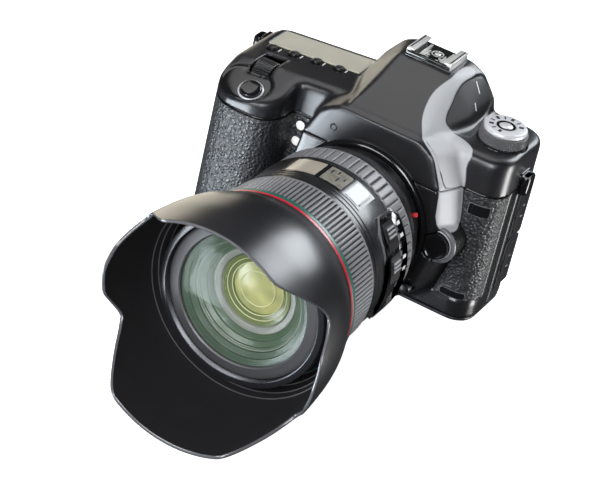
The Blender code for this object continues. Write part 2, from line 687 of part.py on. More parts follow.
def make_lens():
    lens_ring("lens_mount_ring", [(33.2, 43.9), (33.2, 41.2), (27.2, 41.2), (27.2, 43.9)], STEEL)
    barrel = lens_ring("lens_barrel", [
        (BARREL_RADIUS, BARREL_FRONT), (BARREL_RADIUS, 76.4), (36.4, 76.2), (36.4, 62.2), (38.6, 61.8),
        (37, 52), (35.2, 50.4), (33.6, FLANGE_DISTANCE), (26.8, FLANGE_DISTANCE), (26.8, 41.5), (23, 41.5),
        (23, 60), (32, 64), (34.9, 76), (37.6, 79), (37.6, BARREL_FRONT)], BLACK_SHELL)
    lens_ring("focus_ring", [(FOCUS_RADIUS, 75.8), (FOCUS_RADIUS, 62.6), (36.8, 62.6), (36.8, 75.8)], RUBBER)
    lens_ring("zoom_ring", [(ZOOM_RADIUS, 127), (ZOOM_RADIUS, 104.2), (38, 104.2), (38, 127)], RUBBER)
    lens_ring("front_barrel", [
        (HEAD_RADIUS, HEAD_FRONT), (42.3, 132.9), (FLANGE_RADIUS, 132.6), (44.5, 128.8), (42.4, 127.4),
        (37.5, 127.3), (37.3, 84), (34.6, 84), (34.6, 136), (32.4, 140), (32.4, 148.2), (37.9, 148.9),
        (FILTER_RADIUS, HEAD_FRONT)], BLACK_SHELL)
    front = lens_ring("front_element", [
        (0.0, 151.6), (12, 151.1), (22, 149.9), (GLASS_RADIUS, 147.6), (GLASS_RADIUS, 141.5),
        (0.0, 143.5)], GLASS)
    front.modifiers["turn"].merge_threshold = 0.0001
    rear = lens_ring("rear_element", [(0.0, 49), (22.5, 50), (22.5, 43), (14, 44), (0.0, 44.5)], GLASS, 32)
    rear.modifiers["turn"].merge_threshold = 0.0001
    return barrel


def barrel_pad(name, start, end, back, front, inner, outer, paint, steps=8):
    """A plate curved about the lens axis, between two angles from the top, in degrees."""
    work = bmesh.new()
    rings = []
    for step in range(steps + 1):
        angle = math.radians(start + (end - start) * step / steps)
        for radius, reach in ((inner, back), (outer, back), (outer, front), (inner, front)):
            corner = Vector((radius * math.sin(angle), radius * math.cos(angle), reach)) * MM
            rings.append(work.verts.new(corner))
    for step in range(steps):
        here = rings[4 * step:4 * step + 4]
        after = rings[4 * step + 4:4 * step + 8]
        for side in range(4):
            work.faces.new((here[side], here[(side + 1) % 4], after[(side + 1) % 4], after[side]))
    work.faces.new(rings[:4])
    work.faces.new(rings[-4:][::-1])
    return add_mesh(name, mesh_from(name, work), paint, lens_place())


def barrel_pocket(barrel, name, start, end, back, front, inner):
    pocket = barrel_pad(name + "_pocket", start, end, back, front, inner, 60, None)
    PARTS.objects.unlink(pocket)
    CUTTERS.objects.link(pocket)
    boolean(barrel, as_cutter(pocket), "DIFFERENCE")


def make_barrel_details(barrel):
    barrel_pocket(barrel, "distance_window", -26, 19, 81, 95, 39.2)
    barrel_pad("distance_window", -25.5, 18.5, 81.4, 94.6, 39.5, 41.1, SCREEN)
    for name, angle in (("focus_mode_switch", 57), ("stabilizer_switch", 79)):
        barrel_pocket(barrel, name, angle - 9, angle + 9, 79.5, 88.5, 39.2)
        barrel_pad(name, angle - 5.5, angle + 2.5, 80, 88, 39.5, 42.2, BUTTON, 3)


def petal_rim(angle):
    """Rim distance in metres at an angle round the axis, eased between the listed points."""
    away = abs(math.degrees(math.remainder(angle, math.pi)))
    for (first, low), (second, high) in zip(PETAL_RIM, PETAL_RIM[1:]):
        if first <= away <= second:
            share = (away - first) / (second - first)
            return (low + (high - low) * share) * MM
    return PETAL_RIM[-1][1] * MM


def hood_radius(distance):
    for (first, low), (second, high) in zip(HOOD_SHAPE, HOOD_SHAPE[1:]):
        if distance <= second * MM:
            share = (distance / MM - first) / (second - first)
            return (low + (high - low) * share) * MM
    return HOOD_SHAPE[-1][1] * MM


def make_hood():
    """A bell with four petals: an open surface lofted along the axis, thickened inwards."""
    around = 72
    along = [0.0, 0.12, 0.3, 0.6, 1.0]
    work = bmesh.new()
    rows = []
    for share in along:
        row = []
        for step in range(around):
            angle = 2 * math.pi * step / around
            reach = HOOD_REAR + (petal_rim(angle - HOOD_TURN) - HOOD_REAR) * share
            radius = hood_radius(reach)
            row.append(work.verts.new((radius * math.sin(angle), radius * math.cos(angle), reach)))
        rows.append(row)
    for low, high in zip(rows, rows[1:]):
        for step in range(around):
            following = (step + 1) % around
            work.faces.new((low[step], low[following], high[following], high[step]))
    made = add_mesh("lens_hood", mesh_from("lens_hood", work), BLACK_SHELL, lens_place())
    wall = made.modifiers.new("wall", "SOLIDIFY")
    wall.thickness = HOOD_WALL
    wall.offset = -1
    wall.use_even_offset = True
    return smooth(made, 50)


make_barrel_details(make_lens())
make_hood()
for finished in (FRONT_COVER, REAR_COVER, TOP_COVER, BASE_PLATE, GRIP_LEATHER, SIDE_LEATHER):
    smooth(finished, 30)
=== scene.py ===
"""Looks of the camera: moulded covers, leather, ribbed lens rings, glass, studio light and viewpoint.

Frame: +Z up, -Y out of the lens, +X towards the mode dial. Lengths named below are in millimetres.
Distances along the lens are counted forward from the sensor plane.
Angles round it are counted from the top towards +X.
"""

import json
import math

import bmesh
import bpy
import numpy as np
from mathutils import Matrix, Vector
from mathutils.bvhtree import BVHTree

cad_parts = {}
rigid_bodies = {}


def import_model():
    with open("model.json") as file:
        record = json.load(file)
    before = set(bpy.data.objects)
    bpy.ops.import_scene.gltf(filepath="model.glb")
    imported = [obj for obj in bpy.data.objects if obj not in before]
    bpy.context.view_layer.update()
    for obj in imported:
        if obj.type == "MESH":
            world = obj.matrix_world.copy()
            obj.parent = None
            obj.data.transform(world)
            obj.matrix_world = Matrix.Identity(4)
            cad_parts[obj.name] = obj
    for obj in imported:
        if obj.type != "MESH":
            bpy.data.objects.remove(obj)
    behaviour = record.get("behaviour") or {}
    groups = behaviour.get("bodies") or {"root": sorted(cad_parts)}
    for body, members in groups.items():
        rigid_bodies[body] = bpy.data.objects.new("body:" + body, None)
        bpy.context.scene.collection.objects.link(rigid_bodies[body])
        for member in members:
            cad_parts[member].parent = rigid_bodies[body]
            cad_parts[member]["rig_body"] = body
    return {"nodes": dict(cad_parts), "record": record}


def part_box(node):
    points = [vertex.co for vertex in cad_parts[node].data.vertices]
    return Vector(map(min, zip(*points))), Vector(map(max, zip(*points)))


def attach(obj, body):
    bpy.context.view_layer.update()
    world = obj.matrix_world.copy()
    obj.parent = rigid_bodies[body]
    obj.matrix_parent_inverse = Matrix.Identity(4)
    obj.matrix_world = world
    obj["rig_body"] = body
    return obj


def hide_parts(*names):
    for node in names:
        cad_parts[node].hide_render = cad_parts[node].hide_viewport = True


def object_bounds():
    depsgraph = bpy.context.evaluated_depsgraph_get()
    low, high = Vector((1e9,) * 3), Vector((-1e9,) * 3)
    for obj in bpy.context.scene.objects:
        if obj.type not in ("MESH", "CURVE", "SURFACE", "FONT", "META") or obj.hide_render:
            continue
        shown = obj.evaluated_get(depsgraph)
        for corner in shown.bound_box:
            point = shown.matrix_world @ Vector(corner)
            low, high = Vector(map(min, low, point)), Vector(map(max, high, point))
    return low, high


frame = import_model()
CAD_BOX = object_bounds()
NODES = frame["nodes"]

MM = 0.001
AXIS_HEIGHT = 42.4

# Viewpoint
CAMERA_PLACE = (378.45, -1017.68, 644.90)
CAMERA_AZIMUTH = 22.39
CAMERA_ELEVATION = 30.81
CAMERA_ROLL = 13.54
CAMERA_LENS = 153.42
SENSOR_WIDTH = 36.0
WORLD_LIGHT = 0.045

# Lens rings
ZOOM_RIBS = 118
FOCUS_RIBS = 60
RIB_SAMPLES = 8

# Hood: rim distance against degrees from the nearer of top and bottom, and radius against distance
PETAL_RIM = [(0, 192.5), (31, 192.5), (36, 188.5), (54, 169.5), (60, 165.5), (66, 169), (76, 176.5),
             (90, 179)]
HOOD_SHAPE = [(133, 45.2), (138, 47.6), (145, 50.6), (155, 52.9), (170, 54.6), (193, 55.6)]
HOOD_WALL = 1.7
HOOD_TURN = math.radians(4)

# Body: distance of its back behind the sensor plane, and how far the prism stands to the mode-dial side
BODY_BACK = 20.0
PRISM_X = 1.5

# Smoothing: how far towards its neighbours' middle a point moves in one sweep
SMOOTHING_STEP = 0.6

# Painted regions: half the width of their blended edge, the largest distance stored for a point, and
# how squarely a point has to face the direction that the region is seen from
MASK_EDGE = 0.15
FARTHEST = 9.0
FACING_LEAST = 0.05

# Light panels: name, place, aim, width, height, strength, colour
STUDIO = [
    ("right_panel", (311, 62, -20), (50, -25, 70), 100, 200, 0.72, (1, 1, 1)),
    ("left_panel", (-255, -333, -118), (-50, -45, 70), 230, 170, 1.5, (0.84, 0.92, 1.0)),
    ("high_panel", (125, 300, 310), (20, -130, 80), 210, 200, 0.95, (0.90, 0.95, 1.0)),
    ("warm_panel", (-335, 260, 30), (-45, -120, 80), 200, 300, 0.33, (1.0, 0.92, 0.76)),
    ("sky_panel", (-165, 30, 560), (0, -20, 90), 460, 460, 0.80, (1, 1, 1)),
    ("streak_panel", (84, -411, 149), (-56, -47, 77), 90, 200, 0.6, (0.95, 0.97, 1.0)),
    ("shoulder_panel", (378, 216, 310), (50, 0, 90), 200, 200, 0.11, (0.95, 0.97, 1.0)),
    ("lip_panel", (-120, -480, 200), (0, -40, 90), 200, 120, 0.55, (0.95, 0.97, 1.0))]

# Band painted pale as a painted reflection on the black flank, side panel and dish on the covers: each has an
# outline and the direction it is seen from.
# A region is (attribute, outline, direction, depth it is sunk by, width of the slope into it).
BAND = [
    (16.8, 14.4, 109), (14.3, 2.7, 109.5), (13.3, -11.2, 106.1), (12.6, -20, 101.9), (14.9, -28.3, 97.3),
    (19.2, -35.4, 93), (22.5, -38.7, 90.5), (28.2, -39.8, 87.3), (32.6, -40.2, 81.4), (36.8, -40, 71.6),
    (39.6, -41, 50), (46.4, -27, 49), (45.7, -27, 60.2), (43.1, -27, 71.8), (40.8, -27, 85.3),
    (36.9, -19.6, 89.5), (27, -18.9, 90.6), (24.4, -20.9, 94.2), (22.8, -18.3, 96.9), (21.8, -11.9, 100.3),
    (20.4, -6.4, 103.9), (19.8, 0.7, 106.4), (21.4, 11.7, 106.6)]
BAND_FROM = (0.85, -0.38, 0.36)
SIDE_PANEL = [
    (21.4, 11.7, 106.6), (19.8, 0.7, 106.4), (20.4, -6.4, 103.9), (21.8, -11.9, 100.3), (22.8, -18.3, 96.9),
    (24.4, -20.9, 94.2), (27, -18.9, 90.6), (31.8, -16.4, 89.5), (36, -14.2, 89.5), (32.1, 17.4, 91.9),
    (23.1, 17.9, 106)]
SIDE_PANEL_FROM = (0.85, 0, 0.5)
DISH = [
    (-83, -42.7, 74), (-75.5, -47.4, 74), (-67.6, -48.8, 75.5), (-59.7, -47.5, 78.1), (-57, -41, 80.6),
    (-58.8, -34, 82.8), (-67.4, -27.5, 84.7), (-77, -28, 84), (-84, -31, 82.1), (-85, -38, 78.4)]
DISH_FROM = (-0.1, -0.42, 0.9)
TOP_REGIONS = [
    ("band", BAND, BAND_FROM, 0.0, 1.0), ("side_panel", SIDE_PANEL, SIDE_PANEL_FROM, 0.7, 1.2),
    ("dish", DISH, DISH_FROM, 1.0, 1.6)]

# Parts of the top cover that keep their sharpness: centre, inner radius, outer radius
TOP_KEEP = [((-66.5, -42, 79), 8, 12), ((-70, -21.5, 84), 8, 11), ((47.8, -4.9, 89.5), 11.5, 15),
            ((1.5, 20, 85), 16, 21), ((-76, -6.8, 85), 3, 5), ((-64.5, -6, 86), 3, 5),
            ((-52.5, -5.4, 87.4), 3, 5), ((-40.5, -5, 88.5), 3, 5), ((1.5, 6, 110), 10, 15),
            ((-46, 20, 77), 3, 6), ((-64, 20, 75), 3, 6), ((-76, 20, 72.6), 3, 6)]


# ---------------------------------------------------------------- placing and building meshes

def facing(centre, direction):
    """Placement in metres whose local Z points along the direction, with local X across the camera."""
    forward = Vector(direction).normalized()
    across = Vector((0, 0, 1)).cross(forward)
    if across.length < 0.01:
        across = Vector((1, 0, 0))
    across -= across.project(forward)
    across.normalize()
    upward = forward.cross(across)
    made = Matrix((across, upward, forward)).transposed().to_4x4()
    made.translation = Vector(centre) * MM
    return made


def lens_place():
    """Local Z runs forward along the lens axis, local Y is up and local X is world X."""
    made = Matrix(((1, 0, 0), (0, 0, 1), (0, -1, 0))).transposed().to_4x4()
    made.translation = Vector((0, 0, AXIS_HEIGHT * MM))
    return made


def round_lens(radius, degrees, distance):
    """World point in metres at a radius, an angle from the top and a distance along the lens."""
    angle = math.radians(degrees)
    return Vector((radius * math.sin(angle), -distance, AXIS_HEIGHT + radius * math.cos(angle))) * MM


def add_object(name, mesh, paint, body, replaced=(), slot=None, angle=40):
    made = bpy.data.objects.new(name, mesh)
    bpy.context.scene.collection.objects.link(made)
    mesh.materials.clear()
    mesh.materials.append(paint)
    if angle:
        mesh.shade_smooth()
        mesh.set_sharp_from_angle(angle=math.radians(angle))
    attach(made, body)
    if replaced:
        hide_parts(*replaced)
    return made


def finish_mesh(name, work, merge=0.0):
    if merge:
        bmesh.ops.remove_doubles(work, verts=work.verts, dist=merge)
    bmesh.ops.recalc_face_normals(work, faces=work.faces)
    mesh = bpy.data.meshes.new(name)
    work.to_mesh(mesh)
    work.free()
    return mesh


def lathe(name, profile, paint, body, place=None, steps=160, swell=None, **more):
    """A closed ring or disc: profile points (radius, distance) turned round local Z.

    swell(turn, point number) adds to a point's radius, where turn runs from 0 to 1.
    """
    work = bmesh.new()
    place = place or lens_place()
    rows = []
    for number, (radius, reach) in enumerate(profile):
        if radius < 1e-6:
            rows.append([work.verts.new(place @ Vector((0, 0, reach * MM)))] * steps)
            continue
        row = []
        for step in range(steps):
            turn = step / steps
            wide = radius + (swell(turn, number) if swell else 0.0)
            angle = math.tau * turn
            row.append(work.verts.new(place @ (Vector((wide * math.sin(angle), wide * math.cos(angle),
                                                       reach)) * MM)))
        rows.append(row)
    on_axis = profile[0][0] < 1e-6 and profile[-1][0] < 1e-6
    for first, second in zip(rows, rows[1:] if on_axis else rows[1:] + rows[:1]):
        for step in range(steps):
            after = (step + 1) % steps
            corners = [first[step], first[after], second[after], second[step]]
            unique = list(dict.fromkeys(corners))
            if len(unique) > 2:
                work.faces.new(unique)
    return add_object(name, finish_mesh(name, work), paint, body, **more)


def join_outlines(work, lower, upper):
    """Side faces between two outlines that have the same number of points."""
    count = len(lower)
    for index in range(count):
        after = (index + 1) % count
        work.faces.new((lower[index], lower[after], upper[after], upper[index]))


def close_outlines(work, lower, upper):
    """A face in each outline, cut into triangles because a curved outline isn't flat."""
    for ring in (lower, upper):
        bmesh.ops.triangulate(work, faces=[work.faces.new(ring)])


def slab(name, outline, low, high, paint, body, place, rounding=0.3, segments=2, **more):
    """A flat outline in local X and Y, raised from low to high along local Z, with rounded edges."""
    work = bmesh.new()
    lower = [work.verts.new((x * MM, y * MM, low * MM)) for x, y in outline]
    upper = [work.verts.new((x * MM, y * MM, high * MM)) for x, y in outline]
    work.faces.new(lower[::-1])
    work.faces.new(upper)
    join_outlines(work, lower, upper)
    bmesh.ops.recalc_face_normals(work, faces=work.faces)
    if rounding:
        rims = [edge for edge in work.edges if edge.calc_face_angle(0) > math.radians(50)]
        bmesh.ops.bevel(work, geom=rims, offset=rounding * MM, segments=segments, profile=0.5, affect="EDGES",
                        clamp_overlap=True)
    bmesh.ops.transform(work, matrix=place, verts=work.verts)
    return add_object(name, finish_mesh(name, work), paint, body, **more)


def rounded_rectangle(half_wide, half_tall, radius, steps=6, centre=(0, 0)):
    points = []
    for sign_x, sign_y, start in ((1, 1, 0), (-1, 1, 90), (-1, -1, 180), (1, -1, 270)):
        for step in range(steps + 1):
            angle = math.radians(start + 90 * step / steps)
            points.append((
                centre[0] + sign_x * (half_wide - radius) + radius * math.cos(angle),
                centre[1] + sign_y * (half_tall - radius) + radius * math.sin(angle)))
    return points


def wrapped_plate(name, outline, inner, outer, paint, body, **more):
    """An outline in (degrees round the lens, distance), as a plate between two radii round the barrel."""
    work = bmesh.new()
    lower = [work.verts.new(round_lens(inner, angle, reach)) for angle, reach in outline]
    upper = [work.verts.new(round_lens(outer, angle, reach)) for angle, reach in outline]
    join_outlines(work, lower, upper)
    close_outlines(work, lower, upper)
    return add_object(name, finish_mesh(name, work), paint, body, **more)


def wrapped_rectangle(start, end, back, front, steps=16):
    """Corners of a rectangle round the barrel, with enough points along its curve."""
    sweep = [start + (end - start) * step / steps for step in range(steps + 1)]
    return [(angle, back) for angle in sweep] + [(angle, front) for angle in reversed(sweep)]


def evaluated_mesh(thing, name):
    bpy.context.view_layer.update()
    graph = bpy.context.evaluated_depsgraph_get()
    mesh = bpy.data.meshes.new_from_object(thing.evaluated_get(graph))
    mesh.name = name
    return mesh


def eased(outline, rounds=2):
    """A closed outline with its corners cut, so that it runs in curves."""
    for _ in range(rounds):
        cut = []
        for first, second in zip(outline, outline[1:] + outline[:1]):
            start, end = Vector(first), Vector(second)
            cut += [tuple(start.lerp(end, 0.25)), tuple(start.lerp(end, 0.75))]
        outline = cut
    return outline


def region_distance(points, normals, outline, toward):
    """How many millimetres inside an outline each point lies, seen from a direction; negative outside."""
    seen_from = Vector(toward).normalized()
    across = seen_from.cross(Vector((0, 0, 1))).normalized()
    axes = np.array([across, across.cross(seen_from)]).T
    flat = points @ axes
    corners = np.array(eased(outline)) @ axes
    nearest = np.full(len(flat), FARTHEST)
    inside = np.zeros(len(flat), bool)
    for start, end in zip(corners, np.roll(corners, -1, axis=0)):
        run = end - start
        share = np.clip(((flat - start) @ run) / (run @ run), 0, 1)
        nearest = np.minimum(nearest, np.linalg.norm(flat - start - share[:, None] * run, axis=1))
        crosses = (start[1] > flat[:, 1]) != (end[1] > flat[:, 1])
        if run[1]:
            inside ^= crosses & (flat[:, 0] < start[0] + (flat[:, 1] - start[1]) * run[0] / run[1])
    signed = np.where(inside, nearest, -nearest)
    return np.where(normals @ np.array(seen_from) > FACING_LEAST, signed, -FARTHEST)


def mark_regions(mesh, regions):
    """Stores each region's distance for the paint, and sinks the surface inside it."""
    count = len(mesh.vertices)
    for attribute, outline, toward, sink, slope in regions:
        points, normals = np.empty(count * 3), np.empty(count * 3)
        mesh.vertices.foreach_get("co", points)
        mesh.vertices.foreach_get("normal", normals)
        points, normals = points.reshape(-1, 3), normals.reshape(-1, 3)
        inside = region_distance(points / MM, normals, outline, toward)
        made = mesh.attributes.get(attribute) or mesh.attributes.new(attribute, "FLOAT", "POINT")
        made.data.foreach_set("value", inside)
        share = np.clip(0.5 + inside / slope, 0, 1)[:, None]
        points -= normals * sink * MM * share * share * (3 - 2 * share)
        mesh.vertices.foreach_set("co", points.ravel())
        mesh.update()


def moulded(name, nodes, voxel, sweeps, paint, body, softness=None, regions=(), slot=None):
    """One smooth-edged mesh in place of CAD nodes.

    The nodes are remeshed to small cells and smoothed. softness(points) gives each point's share of the
    smoothing, from 0 to 1. Each region is (attribute, outline, direction it is seen from, depth, slope).
    """
    work = bmesh.new()
    for node in nodes:
        work.from_mesh(NODES[node].data)
    source = bpy.data.objects.new(name + "_source", finish_mesh(name + "_source", work))
    bpy.context.scene.collection.objects.link(source)
    cells = source.modifiers.new("cells", "REMESH")
    cells.mode = "VOXEL"
    cells.voxel_size = voxel * MM
    mesh = evaluated_mesh(source, name)
    bpy.data.objects.remove(source)
    count = len(mesh.vertices)
    points = np.empty(count * 3)
    mesh.vertices.foreach_get("co", points)
    points = points.reshape(-1, 3)
    edges = np.empty(len(mesh.edges) * 2, np.int64)
    mesh.edges.foreach_get("vertices", edges)
    edges = edges.reshape(-1, 2)
    degree = np.bincount(edges.ravel(), minlength=count)[:, None]
    share = np.ones((count, 1)) if softness is None else softness(points / MM)[:, None]
    for _ in range(sweeps):
        total = np.zeros_like(points)
        for column in range(3):
            total[:, column] = np.bincount(edges[:, 0], points[edges[:, 1], column], count)
            total[:, column] += np.bincount(edges[:, 1], points[edges[:, 0], column], count)
        points += SMOOTHING_STEP * share * (total / degree - points)
    mesh.vertices.foreach_set("co", points.ravel())
    mesh.update()
    mark_regions(mesh, regions)
    return add_object(name, mesh, paint, body, nodes, slot, angle=60)


def draped(name, outline, lift, paint, body, surfaces, depth=0.3, **more):
    """An outline near a surface, laid on it and raised by lift, with sides that reach under the surface."""
    work = bmesh.new()
    upper, lower = [], []
    for corner in outline:
        found = [tree.find_nearest(Vector(corner) * MM) for tree in surfaces]
        place, normal = min(found, key=lambda hit: hit[3])[:2]
        upper.append(work.verts.new(place + normal * lift * MM))
        lower.append(work.verts.new(place - normal * depth * MM))
    join_outlines(work, lower, upper)
    close_outlines(work, lower, upper)
    return add_object(name, finish_mesh(name, work), paint, body, **more)


def strip_outline(route, wide, toward, spacing=1.5):
    """Outline of a strip along a route, widened square to the direction it is seen from."""
    seen_from = Vector(toward).normalized()
    dense = []
    for first, second in zip(route, route[1:]):
        start, end = Vector(first), Vector(second)
        steps = max(1, round((end - start).length / spacing))
        dense += [start.lerp(end, step / steps) for step in range(steps)]
    dense.append(Vector(route[-1]))
    sides = []
    for index, place in enumerate(dense):
        along = dense[min(index + 1, len(dense) - 1)] - dense[max(index - 1, 0)]
        sides.append(along.cross(seen_from).normalized() * wide / 2)
    return [place + side for place, side in zip(dense, sides)] + [
        place - side for place, side in reversed(list(zip(dense, sides)))]


# ---------------------------------------------------------------- materials

def new_material(name, colour, roughness, metallic=0.0, specular=0.5, coat=0.0, coat_roughness=0.15):
    made = bpy.data.materials.new(name)
    made.use_nodes = True
    shader = made.node_tree.nodes["Principled BSDF"]
    shader.inputs["Base Color"].default_value = (*colour, 1)
    shader.inputs["Roughness"].default_value = roughness
    shader.inputs["Metallic"].default_value = metallic
    shader.inputs["Specular IOR Level"].default_value = specular
    shader.inputs["Coat Weight"].default_value = coat
    shader.inputs["Coat Roughness"].default_value = coat_roughness
    made.diffuse_color = (*colour, 1)
    return made


def place_input(made, scale=(1, 1, 1)):
    """Object coordinates, in metres times the scale."""
    nodes, links = made.node_tree.nodes, made.node_tree.links
    source = nodes.new("ShaderNodeTexCoord")
    mapping = nodes.new("ShaderNodeMapping")
    mapping.inputs["Scale"].default_value = scale
    links.new(source.outputs["Object"], mapping.inputs["Vector"])
    return mapping.outputs["Vector"]


def noise_texture(made, size, detail=3.0, scale=(1, 1, 1)):
    """Noise whose blobs are about size millimetres."""
    texture = made.node_tree.nodes.new("ShaderNodeTexNoise")
    texture.inputs["Scale"].default_value = 1000.0 / size
    texture.inputs["Detail"].default_value = detail
    made.node_tree.links.new(place_input(made, scale), texture.inputs["Vector"])
    return texture.outputs["Fac"]


def add_bump(made, height, depth):
    """Adds a bump of so many millimetres to the shader's normal."""
    nodes, links = made.node_tree.nodes, made.node_tree.links
    bump = nodes.new("ShaderNodeBump")
    bump.inputs["Strength"].default_value = 1.0
    bump.inputs["Distance"].default_value = depth * MM
    links.new(height, bump.inputs["Height"])
    shader = nodes["Principled BSDF"]
    for name in ("Normal", "Coat Normal"):
        if shader.inputs[name].is_linked:
            links.new(shader.inputs[name].links[0].from_socket, bump.inputs["Normal"])
        links.new(bump.outputs["Normal"], shader.inputs[name])
    return made


def vary(made, socket, factor, low, high):
    """Runs a socket between two values, or two colours, by a texture's factor."""
    nodes, links = made.node_tree.nodes, made.node_tree.links
    if isinstance(low, tuple):
        blend = nodes.new("ShaderNodeMix")
        blend.data_type = "RGBA"
        blend.inputs[6].default_value = (*low, 1)
        blend.inputs[7].default_value = (*high, 1)
        links.new(factor, blend.inputs[0])
        links.new(blend.outputs[2], nodes["Principled BSDF"].inputs[socket])
    else:
        spread = nodes.new("ShaderNodeMapRange")
        spread.inputs["To Min"].default_value = low
        spread.inputs["To Max"].default_value = high
        spread.inputs["From Min"].default_value = 0.3
        spread.inputs["From Max"].default_value = 0.7
        links.new(factor, spread.inputs["Value"])
        links.new(spread.outputs["Result"], nodes["Principled BSDF"].inputs[socket])
    return made


def satin_paint(name, colour, roughness, texture_size=0.35, depth=0.012, specular=1.0, coat=0.0):
    """Moulded plastic with a fine sprayed texture and slightly uneven sheen."""
    made = new_material(name, colour, roughness, 0.0, specular, coat)
    vary(made, "Roughness", noise_texture(made, 6.0), roughness - 0.015, roughness + 0.02)
    vary(made, "Base Color", noise_texture(made, 14.0), colour, tuple(1.3 * part for part in colour))
    return add_bump(made, noise_texture(made, texture_size, 2.0), depth)


def mask_paint(made, attribute, colour, roughness):
    """Gives the inside of a marked region its own colour and sheen, with a crisp edge."""
    nodes, links = made.node_tree.nodes, made.node_tree.links
    shader = nodes["Principled BSDF"]
    source = nodes.new("ShaderNodeAttribute")
    source.attribute_name = attribute
    edge = nodes.new("ShaderNodeMapRange")
    edge.inputs["From Min"].default_value = -MASK_EDGE
    edge.inputs["From Max"].default_value = MASK_EDGE
    links.new(source.outputs["Fac"], edge.inputs["Value"])
    for socket, value in (("Base Color", (*colour, 1)), ("Roughness", roughness)):
        blend = nodes.new("ShaderNodeMix")
        blend.data_type = "RGBA" if socket == "Base Color" else "FLOAT"
        first, second, result = (6, 7, 2) if socket == "Base Color" else (2, 3, 0)
        links.new(edge.outputs["Result"], blend.inputs[0])
        links.new(shader.inputs[socket].links[0].from_socket, blend.inputs[first])
        blend.inputs[second].default_value = value
        links.new(blend.outputs[result], shader.inputs[socket])
    return made


def leather_material(name, index, crest):
    """Rubber skin with a pebble grain: raised cells, creases painted dark as painted shade, fine pores."""
    made = new_material(name, (0.03, 0.03, 0.034), 0.4, 0.0, 1.0)
    nodes, links = made.node_tree.nodes, made.node_tree.links
    nodes["Principled BSDF"].inputs["IOR"].default_value = index
    cells = nodes.new("ShaderNodeTexVoronoi")
    cells.feature = "SMOOTH_F1"
    cells.inputs["Scale"].default_value = 1000.0 / 1.5
    cells.inputs["Smoothness"].default_value = 0.45
    warp = nodes.new("ShaderNodeMix")
    warp.data_type = "VECTOR"
    warp.inputs[0].default_value = 0.0009
    wobble = nodes.new("ShaderNodeTexNoise")
    wobble.inputs["Scale"].default_value = 500.0
    place = place_input(made)
    links.new(place, wobble.inputs["Vector"])
    links.new(place, warp.inputs[4])
    links.new(wobble.outputs["Color"], warp.inputs[5])
    links.new(warp.outputs[1], cells.inputs["Vector"])
    height = nodes.new("ShaderNodeMapRange")
    height.inputs["From Min"].default_value = 0.05
    height.inputs["From Max"].default_value = 0.7
    height.inputs["To Min"].default_value = 1.0
    height.inputs["To Max"].default_value = 0.0
    links.new(cells.outputs["Distance"], height.inputs["Value"])
    # Cells take the crest colour and the creases go near black as painted shade.
    vary(made, "Base Color", height.outputs["Result"], (0.003, 0.003, 0.004), crest)
    vary(made, "Roughness", height.outputs["Result"], 0.6, 0.27)
    add_bump(made, height.outputs["Result"], 0.4)
    return add_bump(made, noise_texture(made, 0.3), 0.03)


def metal(name, colour, roughness, stretch=(1, 1, 1), size=0.4, depth=0.004, plating=1.0):
    """Metal with fine marks drawn out along the axis whose stretch is small."""
    made = new_material(name, colour, roughness, plating)
    marks = noise_texture(made, size, 4.0, stretch)
    vary(made, "Roughness", marks, roughness - 0.05, roughness + 0.1)
    return add_bump(made, marks, depth)


BODY_PAINT = satin_paint("satin_black_paint", (0.011, 0.011, 0.013), 0.33, 0.5, 0.006)
# The band is painted pale grey on the black cover as a painted reflection of the side light.
mask_paint(BODY_PAINT, "band", (0.53, 0.54, 0.56), 0.5)
mask_paint(BODY_PAINT, "dish", (0.006, 0.006, 0.007), 0.2)
FRONT_PAINT = satin_paint("satin_black_front", (0.009, 0.009, 0.010), 0.27, 0.5, 0.006)
# The same painted reflection of the side light runs on down the front cover.
mask_paint(FRONT_PAINT, "band", (0.53, 0.54, 0.56), 0.5)
REAR_PAINT = satin_paint("satin_black_rear", (0.011, 0.011, 0.013), 0.36, 0.5, 0.008)
BODY_PAINT_FINE = satin_paint("satin_black_smooth", (0.010, 0.010, 0.012), 0.26, 0.3, 0.004)
BARREL_PAINT = satin_paint("barrel_black", (0.012, 0.012, 0.014), 0.25, 0.3, 0.003)
HOOD_PAINT = new_material("hood_black", (0.010, 0.010, 0.013), 0.28, 0.0, 1.0)
add_bump(HOOD_PAINT, noise_texture(HOOD_PAINT, 0.4, 2.0), 0.003)
FLOCK = satin_paint("flocked_black", (0.012, 0.011, 0.012), 0.95, 0.3, 0.03, 0.15)
LEATHER = leather_material("grip_leather_black", 1.68, (0.030, 0.031, 0.036))
# The side skin's paler crest colour is a painted sheen on the black rubber.
SIDE_LEATHER = leather_material("side_leather_black", 1.5, (0.055, 0.056, 0.062))
RUBBER = satin_paint("black_rubber", (0.012, 0.012, 0.014), 0.5, 0.4, 0.006, 0.25)
# Rib tops painted light grey as a painted highlight on the black rubber; the grooves are painted near black
# as painted shade.
RIB_PAINTED_LIGHT_AND_SHADE = satin_paint("ribbed_rubber_painted_light_and_shade", (0.205, 0.205, 0.22), 0.4, 0.3, 0.002, 1.0)
mask_paint(RIB_PAINTED_LIGHT_AND_SHADE, "groove", (0.008, 0.008, 0.009), 0.6)
GLOSS_BLACK = satin_paint("gloss_black", (0.006, 0.006, 0.007), 0.12, 0.5, 0.002, 0.6, 0.6)
KEY_BLACK = satin_paint("key_black", (0.010, 0.010, 0.011), 0.3, 0.3, 0.006)
STEEL = metal("bright_steel_rail", (0.92, 0.92, 0.89), 0.3, (1, 0.04, 1), plating=0.45)
SILVER = metal("silver_dial", (0.74, 0.75, 0.77), 0.24, (1, 1, 1), 0.25)
DARK_STEEL = metal("dark_steel", (0.12, 0.12, 0.13), 0.3)
RED_PAINT = satin_paint("red_ring", (0.75, 0.008, 0.035), 0.25, 0.5, 0.003)
